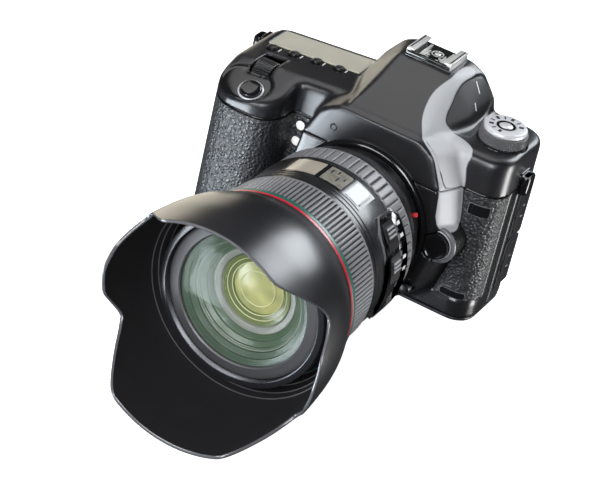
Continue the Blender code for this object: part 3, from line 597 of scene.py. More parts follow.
GREEN_BAND = satin_paint("green_black_band", (0.014, 0.13, 0.10), 0.3, 0.3, 0.002)
SILVER_EDGE = metal("silver_edge", (0.72, 0.73, 0.76), 0.3, (1, 1, 1), 0.3, 0.002, 0.3)
WHITE_MARK = satin_paint("white_mark", (0.82, 0.82, 0.8), 0.4, 0.4, 0.004)
GREY_MARK_AND_RIDGE_HIGHLIGHT = satin_paint("grey_mark_and_ridge_highlight", (0.35, 0.35, 0.36), 0.4, 0.4, 0.004)
RED_MARK = satin_paint("red_mark", (0.7, 0.02, 0.03), 0.35, 0.4, 0.004)


def studio_sheet(name, colour, strength):
    made = new_material(name, colour, 0.9)
    shader = made.node_tree.nodes["Principled BSDF"]
    shader.inputs["Emission Color"].default_value = (*colour, 1)
    shader.inputs["Emission Strength"].default_value = strength
    return made


def glass_material(name, colour, alpha, roughness=0.03, coat=1.0):
    """Coated glass: mostly clear, with a tinted sheen."""
    made = new_material(name, colour, roughness, 0.0, 1.0, coat, 0.1)
    made.node_tree.nodes["Principled BSDF"].inputs["Alpha"].default_value = alpha
    return made


COATED_GLASS = glass_material("green_coated_glass", (0.16, 0.26, 0.12), 0.10, 0.14)
WINDOW_GLASS = glass_material("window_glass", (0.5, 0.5, 0.5), 0.2)
# Window panes painted with the warm, mottled and cool reflections seen in the glass over the distance scale.
WINDOW_WARM_REFLECTION = satin_paint("window_warm_painted_reflection", (0.40, 0.36, 0.30), 0.18, 0.6, 0.003, 0.8)
DISPLAY_PANEL = satin_paint("display_panel", (0.56, 0.54, 0.45), 0.16, 0.8, 0.002, 0.8, 0.4)
MONITOR = satin_paint("monitor_glass", (0.006, 0.007, 0.010), 0.06, 0.8, 0.001, 0.8, 0.8)
INNER_GREEN = satin_paint("inner_barrel_green", (0.045, 0.070, 0.055), 0.3, 0.5, 0.004)
INNER_DARK = satin_paint("inner_barrel_dark", (0.040, 0.062, 0.054), 0.3, 0.5, 0.004)
INNER_PALE = satin_paint("inner_retainer", (0.24, 0.23, 0.235), 0.35, 0.5, 0.004)
INNER_STEP = satin_paint("inner_step", (0.15, 0.16, 0.15), 0.35, 0.5, 0.004)
# The rear group is opaque and painted with the yellow, olive and amber reflections of coated glass.
REAR_GLASS_REFLECTION_PAINT = satin_paint("rear_glass_painted_reflection", (0.55, 0.56, 0.24), 0.25, 0.5, 0.002)
vary(REAR_GLASS_REFLECTION_PAINT, "Base Color", noise_texture(REAR_GLASS_REFLECTION_PAINT, 9.0, 1.0), (0.26, 0.29, 0.12),
     (0.80, 0.72, 0.30))
REAR_RIM_REFLECTION_PAINT = satin_paint("rear_rim_painted_reflection", (0.12, 0.13, 0.045), 0.25, 0.5, 0.002)
REAR_STEP_GLINT_PAINT = satin_paint("rear_step_painted_glint", (0.75, 0.72, 0.45), 0.2, 0.5, 0.002)
NAME_RING = satin_paint("name_ring_grey", (0.055, 0.055, 0.058), 0.4, 0.4, 0.004)
# The hood's rim edge is painted grey on the black hood as a painted highlight.
RIM_PAINTED_HIGHLIGHT = satin_paint("rim_edge_painted_highlight", (0.075, 0.075, 0.08), 0.2, 0.3, 0.004, 1.0)
LINING_STEP = satin_paint("lining_step", (0.045, 0.045, 0.048), 0.5, 0.3, 0.004, 0.6)
EDGE_GREY = satin_paint("edge_grey", (0.16, 0.16, 0.17), 0.25, 0.4, 0.004, 0.9)
WINDOW_COOL_REFLECTION = satin_paint("window_cool_painted_reflection", (0.40, 0.43, 0.48), 0.16, 0.6, 0.003, 0.8)
WINDOW_MOTTLED_REFLECTION = satin_paint("window_mottled_painted_reflection", (0.22, 0.21, 0.18), 0.2, 0.6, 0.003, 0.8)
vary(WINDOW_MOTTLED_REFLECTION, "Base Color", noise_texture(WINDOW_MOTTLED_REFLECTION, 3.0), (0.10, 0.10, 0.09), (0.45, 0.43, 0.36))
# The knurled skirt is painted dark grey rather than black as a painted sheen on its knurl.
KEY_BLACK_SHEEN = satin_paint("knurl_black_painted_sheen", (0.11, 0.11, 0.115), 0.3, 0.3, 0.003, 1.0)
SILVER_SATIN = metal("dial_silver_satin", (0.86, 0.87, 0.90), 0.32, (1, 1, 1), 0.25, 0.002, 0.3)
# The lamp and sensor covers glow faintly as painted light, though neither is lit.
GLOWING_WHITE_COVER = studio_sheet("glowing_white_cover", (0.86, 0.86, 0.84), 0.35)
PICTURE = satin_paint("picture_area", (0.012, 0.014, 0.020), 0.12, 1.2, 0.001, 0.8, 0.6)
FINDER_GLASS = satin_paint("finder_glass", (0.010, 0.012, 0.020), 0.05, 1.0, 0.001, 0.8, 0.8)


# ---------------------------------------------------------------- camera, floor and light

def set_camera():
    azimuth, elevation = math.radians(CAMERA_AZIMUTH), math.radians(CAMERA_ELEVATION)
    roll = math.radians(CAMERA_ROLL)
    back = Vector((math.sin(azimuth) * math.cos(elevation), -math.cos(azimuth) * math.cos(elevation),
                   math.sin(elevation)))
    level = Vector((0, 0, 1)).cross(back).normalized()
    upright = back.cross(level)
    across = level * math.cos(roll) + upright * math.sin(roll)
    upward = upright * math.cos(roll) - level * math.sin(roll)
    data = bpy.data.cameras.new("viewpoint")
    data.lens = CAMERA_LENS
    data.sensor_width = SENSOR_WIDTH
    data.sensor_fit = "HORIZONTAL"
    data.clip_start = 0.05
    data.clip_end = 20
    camera = bpy.data.objects.new("viewpoint", data)
    camera.matrix_world = Matrix((across, upward, back)).transposed().to_4x4()
    camera.matrix_world.translation = Vector(CAMERA_PLACE) * MM
    bpy.context.scene.collection.objects.link(camera)
    bpy.context.scene.camera = camera


def softbox(name, place, aim, wide, tall, watts, colour=(1, 1, 1)):
    """A rectangular light at a place in millimetres, turned to face the aim."""
    data = bpy.data.lights.new(name, "AREA")
    data.shape = "RECTANGLE"
    data.size = wide * MM
    data.size_y = tall * MM
    data.energy = watts
    data.color = colour
    light = bpy.data.objects.new(name, data)
    light.matrix_world = facing(place, Vector(place) - Vector(aim))
    light.visible_camera = False
    bpy.context.scene.collection.objects.link(light)
    return light


def set_world():
    """White to the eye, but only a dim even light on the camera."""
    world = bpy.data.worlds.new("studio")
    bpy.context.scene.world = world
    world.use_nodes = True
    nodes, links = world.node_tree.nodes, world.node_tree.links
    seen = nodes["Background"]
    seen.inputs["Color"].default_value = (1, 1, 1, 1)
    lit = nodes.new("ShaderNodeBackground")
    lit.inputs["Color"].default_value = (0.92, 0.95, 1, 1)
    lit.inputs["Strength"].default_value = WORLD_LIGHT
    rays = nodes.new("ShaderNodeLightPath")
    choose = nodes.new("ShaderNodeMixShader")
    links.new(rays.outputs["Is Camera Ray"], choose.inputs["Fac"])
    links.new(lit.outputs[0], choose.inputs[1])
    links.new(seen.outputs[0], choose.inputs[2])
    links.new(choose.outputs[0], nodes["World Output"].inputs["Surface"])


def lay_floor():
    low = CAD_BOX[0].z / MM - 0.6
    reach = 2600
    mesh = bpy.data.meshes.new("floor")
    corners = [(-reach, -reach, low), (reach, -reach, low), (reach, reach, low), (-reach, reach, low)]
    mesh.from_pydata([Vector(corner) * MM for corner in corners], [], [(0, 1, 2, 3)])
    mesh.materials.append(studio_sheet("floor_white", (1, 1, 1), 1.0))
    made = bpy.data.objects.new("floor", mesh)
    bpy.context.scene.collection.objects.link(made)
    made.visible_glossy = False
    made.visible_diffuse = False
    made.visible_shadow = False


set_camera()
set_world()
lay_floor()
for entry in STUDIO:
    softbox(*entry)
fill = softbox("front_fill", (-150, -900, 700), (0, -100, 40), 500, 500, 5.5)
fill.visible_glossy = False

bpy.context.scene.view_settings.view_transform = "Standard"


# ---------------------------------------------------------------- covers and leather

def fade(points, centre, inner, outer):
    """0 within the inner distance of a place, 1 beyond the outer."""
    away = np.linalg.norm(points - np.array(centre), axis=1)
    return np.clip((away - inner) / (outer - inner), 0, 1)


def top_softness(points):
    """Strong rounding on the prism housing and shoulders, little at the seams and round the controls."""
    share = np.clip((points[:, 2] - 71.5) / 4, 0.05, 1)
    for centre, inner, outer in TOP_KEEP:
        share = np.minimum(share, 0.08 + 0.92 * fade(points, centre, inner, outer))
    share = np.minimum(share, lip_keep(points))
    display = (np.abs(points[:, 0] + 56) < 28) & (np.abs(points[:, 1] - 7) < 12) & (points[:, 2] < 92)
    share[display] *= 0.15
    return share


def lip_keep(points):
    """Keeps the overhang above the mount crisp."""
    near = (points[:, 1] < -32) & (points[:, 2] > 83) & (points[:, 2] < 95) & (np.abs(points[:, 0]) < 27)
    return np.where(near, 0.2, 1.0)


def front_softness(points):
    share = np.clip((69.5 - points[:, 2]) / 4, 0.1, 1) * np.clip((points[:, 2] - 3.5) / 3, 0.1, 1)
    mount = np.hypot(points[:, 0], points[:, 2] - AXIS_HEIGHT)
    share = np.where((mount < 36) & (points[:, 1] < -38), 0.15, share)
    share = np.minimum(share, 0.1 + 0.9 * fade(points, (41.5, -38, 42.7), 9, 13))
    return share


top_housing = moulded("top_housing", ["top_cover"], 0.6, 36, BODY_PAINT, "body", top_softness, TOP_REGIONS)
front_housing = moulded("front_housing", ["front_cover"], 0.6, 16, FRONT_PAINT, "body", front_softness,
                        [("band", BAND, BAND_FROM, 0.0, 1.0)])
moulded("rear_housing", ["rear_cover"], 0.65, 6, REAR_PAINT, "body")
moulded("base_housing", ["base_plate"], 0.65, 6, REAR_PAINT, "body")
moulded("grip_skin", ["grip_leather"], 0.45, 14, LEATHER, "body")
side_skin = moulded("side_skin", ["side_leather"], 0.45, 6, SIDE_LEATHER, "body")


# ---------------------------------------------------------------- lens

def rib_wave(count, depth, duty, sharp=9.0):
    """Radius change round a ribbed ring: flat ribs, narrow grooves, rounded shoulders."""
    def swell(turn):
        phase = (turn * count) % 1.0
        edge = min(phase, 1 - phase) - (1 - duty) / 2
        return -depth / (1 + math.exp(sharp * 4 * edge))
    return swell


def ribbed_ring(name, node, outer, rear, front, inner, count, depth, duty, samples, body):
    """A rubber ring whose ribs run along the lens and fade out at both ends."""
    wave = rib_wave(count, depth, duty)
    profile = [
        (outer - 0.9, front), (outer - 0.25, front - 0.15), (outer, front - 0.8), (outer, front - 1.6),
        (outer, (rear + front) / 2), (outer, rear + 1.6), (outer, rear + 0.8), (outer - 0.25, rear + 0.15),
        (outer - 0.9, rear), (inner, rear), (inner, front)]
    strength = [0, 0, 0.25, 1, 1, 1, 0.25, 0, 0, 0, 0]
    ring = lathe(name, profile, RIB_PAINTED_LIGHT_AND_SHADE, body, steps=count * samples,
                 swell=lambda turn, number: strength[number] * wave(turn) if strength[number] else 0.0,
                 replaced=[node], slot="rubber_black")
    mark_groove_shade(ring.data, outer, depth)
    return ring


def mark_groove_shade(mesh, outer, depth):
    """Stores how far each point lies below the ribs, so that the grooves can be painted dark as painted
    shade.
    """
    groove = mesh.attributes.new("groove", "FLOAT", "POINT")
    for number, vertex in enumerate(mesh.vertices):
        radius = math.hypot(vertex.co.x, vertex.co.z - AXIS_HEIGHT * MM) / MM
        groove.data[number].value = (outer - radius) / depth - 0.55


def build_lens():
    ribbed_ring("zoom_grip", "zoom_ring", 42.0, 104.2, 127.0, 38.0, ZOOM_RIBS, 0.75, 0.62,
                RIB_SAMPLES, "zoom_ring")
    ribbed_ring("focus_grip", "focus_ring", 40.3, 62.6, 75.8, 36.8, FOCUS_RIBS, 0.7, 0.80,
                2 * RIB_SAMPLES, "focus_ring")
    lathe("barrel_tube", [(40.4, 103.8), (41.0, 103.2), (41.0, 101.2), (40.6, 100.9), (40.6, 100.5),
                          (41.0, 100.2), (41.0, 98.4), (40.7, 98.1), (40.7, 97.8), (41.0, 97.5),
                          (41.0, 77.2), (40.6, 76.5), (36.5, 76.2), (36.5, 62.2), (38.2, 62.0),
                          (38.7, 61.5), (38.5, 59.5), (38.2, 59.2), (38.0, 56.5), (37, 52), (35.6, 50.6),
                          (35.2, 50.0), (33.8, 44.3), (26.8, 44.3), (26.8, 41.5), (23, 41.5), (23, 60),
                          (32, 64), (34.9, 76), (37.6, 79), (37.6, 103.8)], BARREL_PAINT, "lens",
          replaced=["lens_barrel"], slot="satin_black")
    lathe("barrel_head", [(39.6, 150.3), (41.2, 150.0), (41.4, 149.6), (42.2, 132.9), (43.6, 132.6),
                          (43.6, 128.8), (42.2, 127.4), (37.5, 127.3), (37.3, 84), (34.6, 84),
                          (34.6, 130), (37.2, 141), (38.2, 147.5), (38.6, 150.3)],
          BARREL_PAINT, "front_barrel", replaced=["front_barrel"], slot="satin_black")
    lathe("accent_band", [(45.35, 130.8), (45.4, 130.2), (45.3, 128.8), (45.0, 127.9), (44.6, 127.7),
                          (43.0, 127.7), (43.0, 130.8)], GREEN_BAND, "front_barrel")
    lathe("accent_ring", [(45.1, 132.9), (45.4, 132.6), (45.4, 131.0), (45.2, 130.8), (44.2, 130.8),
                          (44.2, 132.9)], RED_PAINT, "front_barrel")
    lathe("accent_edge",
          [(44.7, 127.7), (44.5, 127.45), (44.0, 127.3), (41.9, 127.3), (41.9, 127.7)],
          SILVER_EDGE, "front_barrel")
    lathe("filter_thread", [
        (radius, 150.2 - 0.35 * number) for number, radius in enumerate([38.6, 38.1] * 5)] +
        [(38.9, 147.0), (38.9, 150.2)], DARK_STEEL, "front_barrel", steps=120)
    lathe("name_ring", [(37.9, 147.4), (37.6, 147.8), (36.2, 148.2), (32.6, 148.9), (32.0, 148.4),
                        (32.0, 146.8), (37.9, 145.5)], NAME_RING, "front_barrel")
    lathe("front_glass", [(0, 151.6), (6, 151.47), (12, 151.1), (18, 150.4), (24, 149.5), (28, 148.6),
                          (31.5, 147.7), (31.5, 147.2), (0, 150.2)], COATED_GLASS, "front_barrel",
          replaced=["front_element"], slot="coated_glass")


def build_inner_rings():
    """What shows behind the front glass: stepped green tubes, a pale retainer, and the rear group as opaque
    pieces painted with the yellow, olive and amber reflections of its coated glass.
    """
    lathe("inner_tube_front", [(31.9, 146.8), (29.3, 145.9), (29.2, 144.9), (28.8, 144.7), (26.9, 143.9),
                               (26.7, 142.9), (26.2, 142.6), (26.2, 141.0), (34.0, 141.0),
                               (34.0, 146.8)], INNER_DARK, "front_barrel", angle=25)
    lathe("inner_step",
          [(26.5, 143.1), (26.2, 143.05), (25.9, 142.8), (25.8, 142.0), (26.5, 142.0)],
          INNER_STEP, "front_barrel", angle=25)
    lathe("inner_tube_rear", [(26.2, 142.6), (25.3, 142.1), (25.2, 141.4), (23.2, 140.2), (23.0, 139.2),
                              (22.6, 138.9), (20.7, 136.9), (20.7, 134.0), (26.2, 134.0)],
          INNER_GREEN, "front_barrel", angle=25)
    lathe("retainer_ring", [
        (20.9, 137.1), (20.5, 137.7), (19.0, 137.5), (17.9, 136.9), (17.1, 134.8), (20.9, 134.8)],
        INNER_PALE, "front_barrel")
    lathe("rear_group_outer", [(17.1, 136.3), (15.2, 135.6), (15.0, 135.1), (12.9, 134.5), (12.7, 133.9),
                               (12.7, 132.8), (17.1, 132.8)], REAR_RIM_REFLECTION_PAINT, "front_barrel", angle=25)
    for number, radius in enumerate((15.1, 12.8, 8.6)):
        reach = 135.5 - 0.35 * number
        lathe(f"rear_group_step_{number + 1}", [
            (radius + 0.25, reach), (radius, reach + 0.25), (radius - 0.25, reach), (radius, reach - 0.4)],
            REAR_STEP_GLINT_PAINT, "front_barrel")
    lathe("rear_group_glass", [
        (0, 135.4), (4, 135.2), (8.4, 134.7), (8.6, 134.3), (12.7, 133.4), (12.7, 132.6), (0, 132.6)],
        REAR_GLASS_REFLECTION_PAINT, "front_barrel", angle=25)


def petal_distance(angle):
    """Rim distance at an angle round the axis, eased between the listed points."""
    away = abs(math.degrees(math.remainder(angle, math.pi)))
    for (first, low), (second, high) in zip(PETAL_RIM, PETAL_RIM[1:]):
        if first <= away <= second:
            return low + (high - low) * (away - first) / (second - first)
    return PETAL_RIM[-1][1]


def smooth_rim(angle):
    """The listed rim with its corners rounded over a few degrees."""
    spread = [math.radians(offset) for offset in (-3, -2, -1, 0, 1, 2, 3)]
    weights = [1, 2, 3, 4, 3, 2, 1]
    return sum(weight * petal_distance(angle + offset) for weight,
               offset in zip(weights, spread)) / sum(weights)


def hood_radius(distance):
    distances = [entry[0] for entry in HOOD_SHAPE]
    radii = [entry[1] for entry in HOOD_SHAPE]
    return float(np.interp(distance, distances, radii))


def build_hood():
    """Outer wall, rim edge painted pale as a painted highlight, and flocked inside as three pieces that share
    their edges.
    """
    around, along = 360, 28
    outside, inside, rim = bmesh.new(), bmesh.new(), bmesh.new()

    def wall(work, offset, end):
        rows = []
        for index in range(along + 1):
            row = []
            for step in range(around):
                angle = math.tau * step / around
                rear = HOOD_SHAPE[0][0]
                reach = rear + (smooth_rim(angle - HOOD_TURN) - end - rear) * (index / along)
                radius = smooth_radius(reach) + offset
                row.append(work.verts.new(round_lens(radius, math.degrees(angle), reach)))
            rows.append(row)
        return rows

    def bridge(work, first, second):
        for step in range(around):
            after = (step + 1) % around
            work.faces.new((first[step], first[after], second[after], second[step]))

    outer = wall(outside, 0.0, 0.35)
    back_lip = wall(outside, -HOOD_WALL + 0.35, 0.35)
    for first, second in zip(outer, outer[1:]):
        bridge(outside, first, second)
    for first, second in zip(back_lip, back_lip[1:]):
        bridge(outside, second, first)
    bridge(outside, outer[-1], back_lip[-1])
    bridge(outside, back_lip[0], outer[0])
    add_object("hood_outside", finish_mesh("hood_outside", outside), HOOD_PAINT, "hood",
               ["lens_hood"], "satin_black")

    lining = wall(inside, -HOOD_WALL, 0.6)
    lining_back = wall(inside, -HOOD_WALL + 0.3, 0.6)
    for first, second in zip(lining, lining[1:]):
        bridge(inside, second, first)
    for first, second in zip(lining_back, lining_back[1:]):
        bridge(inside, first, second)
    bridge(inside, lining[-1], lining_back[-1])
    bridge(inside, lining_back[0], lining[0])
    add_object("hood_lining", finish_mesh("hood_lining", inside), FLOCK, "hood")

    rings = []
    for offset, end in ((0.0, 0.5), (-0.2, 0.12), (-0.6, 0.0), (-HOOD_WALL + 0.5, 0.1),
                        (-HOOD_WALL + 0.1, 0.5)):
        rings.append(wall_edge(rim, offset, end, around))
    for first, second in zip(rings, rings[1:] + rings[:1]):
        bridge(rim, first, second)
    add_object("hood_rim", finish_mesh("hood_rim", rim), RIM_PAINTED_HIGHLIGHT, "hood")


def build_lining_rings():
    """Thin steps turned into the inside of the hood, near the front glass."""
    for number, reach in enumerate((137.5, 141.5, 145.0)):
        radius = smooth_radius(reach) - HOOD_WALL
        lathe(f"hood_step_{number + 1}", [
            (radius + 0.3, reach - 0.5), (radius - 0.35, reach - 0.2), (radius - 0.45, reach + 0.1),
            (radius + 0.3, reach + 0.3)], LINING_STEP, "hood", steps=200)


def smooth_radius(reach):
    return sum(hood_radius(reach + offset) for offset in (-4, -2, 0, 2, 4)) / 5


def wall_edge(work, offset, end, around):
    row = []
    for step in range(around):
        angle = math.tau * step / around
        reach = smooth_rim(angle - HOOD_TURN) - end
        row.append(work.verts.new(round_lens(smooth_radius(reach) + offset, math.degrees(angle), reach)))
    return row


build_lens()
build_inner_rings()
build_hood()
build_lining_rings()


# ---------------------------------------------------------------- lens details

def build_window():
    """Curved window over the distance scale, with index lines, painted frame shade at its edge, and frame;
    the panes are opaque plates painted with the warm, mottled and cool reflections in the glass.
    """
    back, front = 81.6, 94.4
    wrapped_plate("window_frame", wrapped_rectangle(-28, 32.5, 80.4, 95.6), 40.2, 41.25, GLOSS_BLACK, "lens")
    for name, start, end, paint in (("warm", -25, -4.5, WINDOW_WARM_REFLECTION), ("middle", -1, 15, WINDOW_MOTTLED_REFLECTION),
                                    ("cool", 18.5, 29, WINDOW_COOL_REFLECTION)):
        first = name == "warm"
        wrapped_plate(f"scale_{name}", wrapped_rectangle(start, end, back, front), 41.0, 41.45, paint, "lens",
                      replaced=["distance_window"] if first else (), slot="display_panel" if first else None)
    # The last line, at the window's edge, is painted shade of the frame; the others are marks.
    for number, (angle, low, high) in enumerate(((2, 84, 87), (6, 83, 85.5), (8.5, 88, 91.5),
                                                 (12, 86, 88), (30.3, 83, 93))):
        wrapped_plate(f"scale_line_{number + 1}",
                      wrapped_rectangle(angle - 0.5, angle + 0.5, low, high, 2), 41.3, 41.6,
                      KEY_BLACK, "lens")


def dense_outline(corners, spacing=4.0):
    """Adds points along an outline, so that it can bend round the barrel."""
    dense = []
    for (first, low), (second, high) in zip(corners, corners[1:] + corners[:1]):
        steps = max(1, round(abs(second - first) / spacing))
        for step in range(steps):
            share = step / steps
            dense.append((first + (second - first) * share, low + (high - low) * share))
    return dense


def build_switch_panel():
    """Raised gloss panel with its edge painted grey as a painted highlight, and two sliding switches in
    recesses whose ridges are painted light as painted highlights.
    """
    outer = [(43, 76), (48, 71.6), (113, 71.6), (118, 76), (118, 88.5), (111, 92), (52, 92), (43, 86.5)]
    inner = [(45, 76.5), (49, 72.6), (112, 72.6), (116, 76.5), (116, 88), (110.5, 91), (52.5, 91), (45, 86)]
    # The panel's edge is painted grey as a painted highlight on the black panel.
    wrapped_plate("switch_panel_edge", dense_outline(outer), 40.0, 42.2, EDGE_GREY, "lens")
    wrapped_plate("switch_panel", dense_outline(inner), 40.0, 42.6, GLOSS_BLACK, "lens")
    for name, node, middle in (("focus_mode", "focus_mode_switch", 57),
                               ("stabilizer", "stabilizer_switch", 79)):
        body = name_body(node)
        wrapped_plate(name + "_slot", wrapped_rectangle(middle - 9, middle + 9, 79.4, 88.6, 6), 42.0,
                      42.7, KEY_BLACK, "lens")
        wrapped_plate(name + "_key", wrapped_rectangle(middle - 6, middle + 3, 80.4, 87.6, 6), 42.6,
                      43.1, KEY_BLACK, body, replaced=[node], slot="button_black")
        # The ridges on the black switch keys are painted light grey as painted highlights.
        for ridge in range(3):
            start = middle - 5.2 + 2.6 * ridge
            wrapped_plate(f"{name}_ridge_{ridge + 1}",
                          wrapped_rectangle(start, start + 1.2, 81, 87, 2), 43.0, 43.6, GREY_MARK_AND_RIDGE_HIGHLIGHT, body)
        for number, angle in enumerate((middle - 5, middle + 3)):
            wrapped_plate(f"{name}_mark_{number + 1}",
                          wrapped_rectangle(angle, angle + 2.2, 74.4, 77.2, 2), 42.5, 42.68,
                          WHITE_MARK, "lens")


def name_body(node):
    return NODES[node]["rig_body"]


def build_lens_marks():
    wrapped_plate("hood_index", wrapped_rectangle(32, 33, 137.5, 146, 2), 46.0, 46.9, WHITE_MARK, "hood")
    wrapped_plate("mount_index",
                  [(60 + 1.6 * math.cos(math.tau * step / 20),
                    52.5 + 1.2 * math.sin(math.tau * step / 20)) for step in range(20)], 36.5,
                  38.6, RED_MARK, "lens")


build_window()
build_switch_panel()
build_lens_marks()


# ---------------------------------------------------------------- top controls

def upright(x, y, z):
    return facing((x, y, z), (0, 0, 1))


def knurl(count, twist, depth, first, last):
    """Diamond pattern between two profile points."""
    def swell(turn, number):
        if not first <= number <= last:
            return 0.0
        ahead = abs(((turn * count + number * twist) % 1.0) - 0.5) * 2
        behind = abs(((turn * count - number * twist) % 1.0) - 0.5) * 2
        return depth * (min(ahead, behind) + 0.35 * max(ahead, behind))
    return swell


def build_mode_dial():
    place = upright(47.8, -4.9, 89.5)
    rows = 17
    side = [(11.0 - 0.4 * row / rows, 0.9 + 4.7 * row / rows) for row in range(rows + 1)]
    lathe("mode_dial_skirt",
          [(10.4, 0.3), (11.1, 0.35)] + side + [(10.45, 5.9), (9.5, 6.2), (8.5, 0.3)],
          KEY_BLACK_SHEEN, "mode_dial", place, steps=432, swell=knurl(54, 0.25, 0.6, 2, rows + 1),
          angle=30, replaced=["mode_dial"], slot="bright_steel")
    lathe("mode_dial_top", [(9.8, 5.8), (10.35, 6.0), (10.45, 6.5), (10.3, 7.5), (9.9, 7.95), (9.5, 8.05),
                            (4.9, 7.9), (4.6, 7.4), (4.6, 6.4)], SILVER_SATIN, "mode_dial", place)
    lathe("mode_dial_ring", [(4.55, 7.9), (3.6, 8.0), (3.3, 7.6), (3.3, 6.5), (4.55, 6.5)],
          GLOSS_BLACK, "mode_dial", place)
    lathe("mode_dial_centre", [(0, 8.05), (2.9, 8.0), (3.25, 7.7), (3.25, 6.5), (0, 6.5)],
          SILVER_SATIN, "mode_dial", place)
    for number in range(9):
        angle = math.radians(-60 + 30 * number)
        mark = place @ Matrix.Rotation(angle, 4, "Z")
        wide = 0.32 if number % 2 else 0.75
        slab(f"mode_dial_mark_{number + 1}", rounded_rectangle(wide, 1.1, 0.2, 3, (0, 7.2)), 7.85,
             8.12, KEY_BLACK, "mode_dial", mark, rounding=0)
    lathe("mode_dial_seat",
          [(12.6, 0.0), (12.4, 0.25), (10.8, 0.3), (10.8, -1.2), (12.6, -1.2)], GLOSS_BLACK, "body", place)


def build_top_keys():
    lift = (-0.0946, 0, 0.9955)
    for number, (x, y, z) in enumerate(
            ((-76.0, -6.8, 85.13), (-64.5, -6.0, 86.222), (-52.5, -5.4, 87.362), (-40.5, -5.0, 88.502)), 1):
        place = facing((x, y, z), lift)
        lathe(f"top_key_{number}", [(0, 0.95), (1.5, 1.0), (1.9, 1.3), (2.25, 1.15), (2.35, 0.6),
                                    (2.35, -1.5), (0, -1.5)], KEY_BLACK, f"top_button_{number}",
              place, steps=48, replaced=[f"top_button_{number}"], slot="button_black")
        lathe(f"top_key_rim_{number}", [(3.1, 0.12), (2.75, 0.18), (2.6, -0.6), (3.1, -0.6)],
              GLOSS_BLACK, "body", place, steps=48)
        slab(f"top_key_mark_{number}", rounded_rectangle(1.6, 0.28, 0.25, 3, (0, 4.0)), -0.1,
             0.12, WHITE_MARK, "body", place, rounding=0)


def build_shutter_button():
    place = facing((-66.5, -42.0, 79.2), (0, -0.4104, 0.9119))
    lathe("shutter_key", [
        (0, 0.9), (2.5, 1.0), (4.0, 1.5), (4.7, 1.75), (5.0, 1.5), (5.05, 0.8), (5.05, -2), (0, -2)],
        GLOSS_BLACK, "shutter_button", place, steps=72, replaced=["shutter_button"], slot="button_black")
    lathe("shutter_collar", [(6.2, 0.2), (5.7, 0.55), (5.35, 0.3), (5.35, -1), (6.2, -1)],
          SILVER_EDGE, "body", place, steps=72)


def build_main_dial():
    place = facing((-70, -21.5, 77.6), (1, 0, 0))

    def teeth(turn, number):
        return -0.45 * (1 - abs(math.sin(math.pi * turn * 38))) ** 2 if 1 <= number <= 4 else 0.0

    lathe("main_wheel", [(6.5, 4.8), (7.9, 4.6), (8.3, 4.2), (8.3, -4.2), (7.9, -4.6), (6.5, -4.8),
                         (2.2, -4.8), (2.2, 4.8)], KEY_BLACK, "main_dial", place, steps=38 * 8,
          swell=teeth, angle=25, replaced=["main_dial"], slot="rubber_black")


def build_shoe():
    """Bright rails over a black base, with the spring plate and contacts between them."""
    low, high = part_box("accessory_shoe")
    low, high = low / MM, high / MM
    middle = (low.x + high.x) / 2
    along = facing((0, 0, 0), (0, -1, 0))
    half = (high.x - low.x) / 2
    for side, name in ((-1, "left"), (1, "right")):
        section = [(half - 2.45, low.z), (half, low.z), (half, high.z), (half - 3.9, high.z),
                   (half - 3.9, high.z - 0.8), (half - 2.45, high.z - 0.8)]
        outline = [(middle + side * x, z) for x, z in section]
        slab(f"shoe_rail_{name}", outline, -high.y, -low.y - 0.4, STEEL, "body", along, 0.18,
             replaced=["accessory_shoe"] if side < 0 else (), slot="bright_steel")
        shoe_line = [(middle + side * x, y) for x,
                     y in ((half - 1.5, -1.6), (half - 0.8, -1.6), (half - 0.8, 15), (half - 1.5, 15))]
        slab(f"shoe_groove_{name}", shoe_line, high.z - 0.05, high.z + 0.06, GLOSS_BLACK, "body",
             upright(0, 0, 0), 0)
    base = rounded_rectangle(half + 0.5, 9.9, 0.8, 4, (middle, 6.0))
    slab("shoe_base", base, low.z - 0.9, low.z + 0.75, GLOSS_BLACK, "body", upright(0, 0, 0), 0.25)
    front = [(middle - half + 0.4, -3.6), (middle + half - 0.4, -3.6), (middle + half - 0.4, -1.9),
             (middle - half + 0.4, -1.9)]
    slab("shoe_front_stop", front, low.z, low.z + 2.4, GLOSS_BLACK, "body", upright(0, 0, 0), 0.25)
    floor = low.z + 0.8
    for number, (x, y, radius) in enumerate(((0, 7.5, 1.5), (-3.2, 3.4, 0.9), (3.2, 3.4, 0.9),
                                             (-2.6, 0.6, 0.9), (2.6, 0.6, 0.9)), 1):
        lathe(f"shoe_contact_{number}", [(0, 0.35), (radius * 0.8, 0.32), (radius, 0.1), (radius, -0.3),
                                         (0, -0.3)], STEEL, "body", upright(middle + x, y, floor), steps=28)
    for side in (-1, 1):
        spring = [(middle + side * x, y) for x, y in (
            (3.9, 1.0), (6.6, -0.6), (6.6, 13.6), (5.4, 13.6), (5.2, 6.0), (3.9, 8.5))]
        slab(f"shoe_spring_{'left' if side < 0 else 'right'}", spring, floor, floor + 0.4, STEEL,
             "body", upright(0, 0, 0), 0.08)
    ring_place = upright(middle, 7.5, floor)
    lathe("shoe_contact_well", [(3.1, 0.2), (2.7, 0.25), (2.5, -0.2), (3.1, -0.2)], STEEL,
          "body", ring_place, steps=40)


build_mode_dial()
build_top_keys()
build_shutter_button()
build_main_dial()
build_shoe()


# ---------------------------------------------------------------- front details

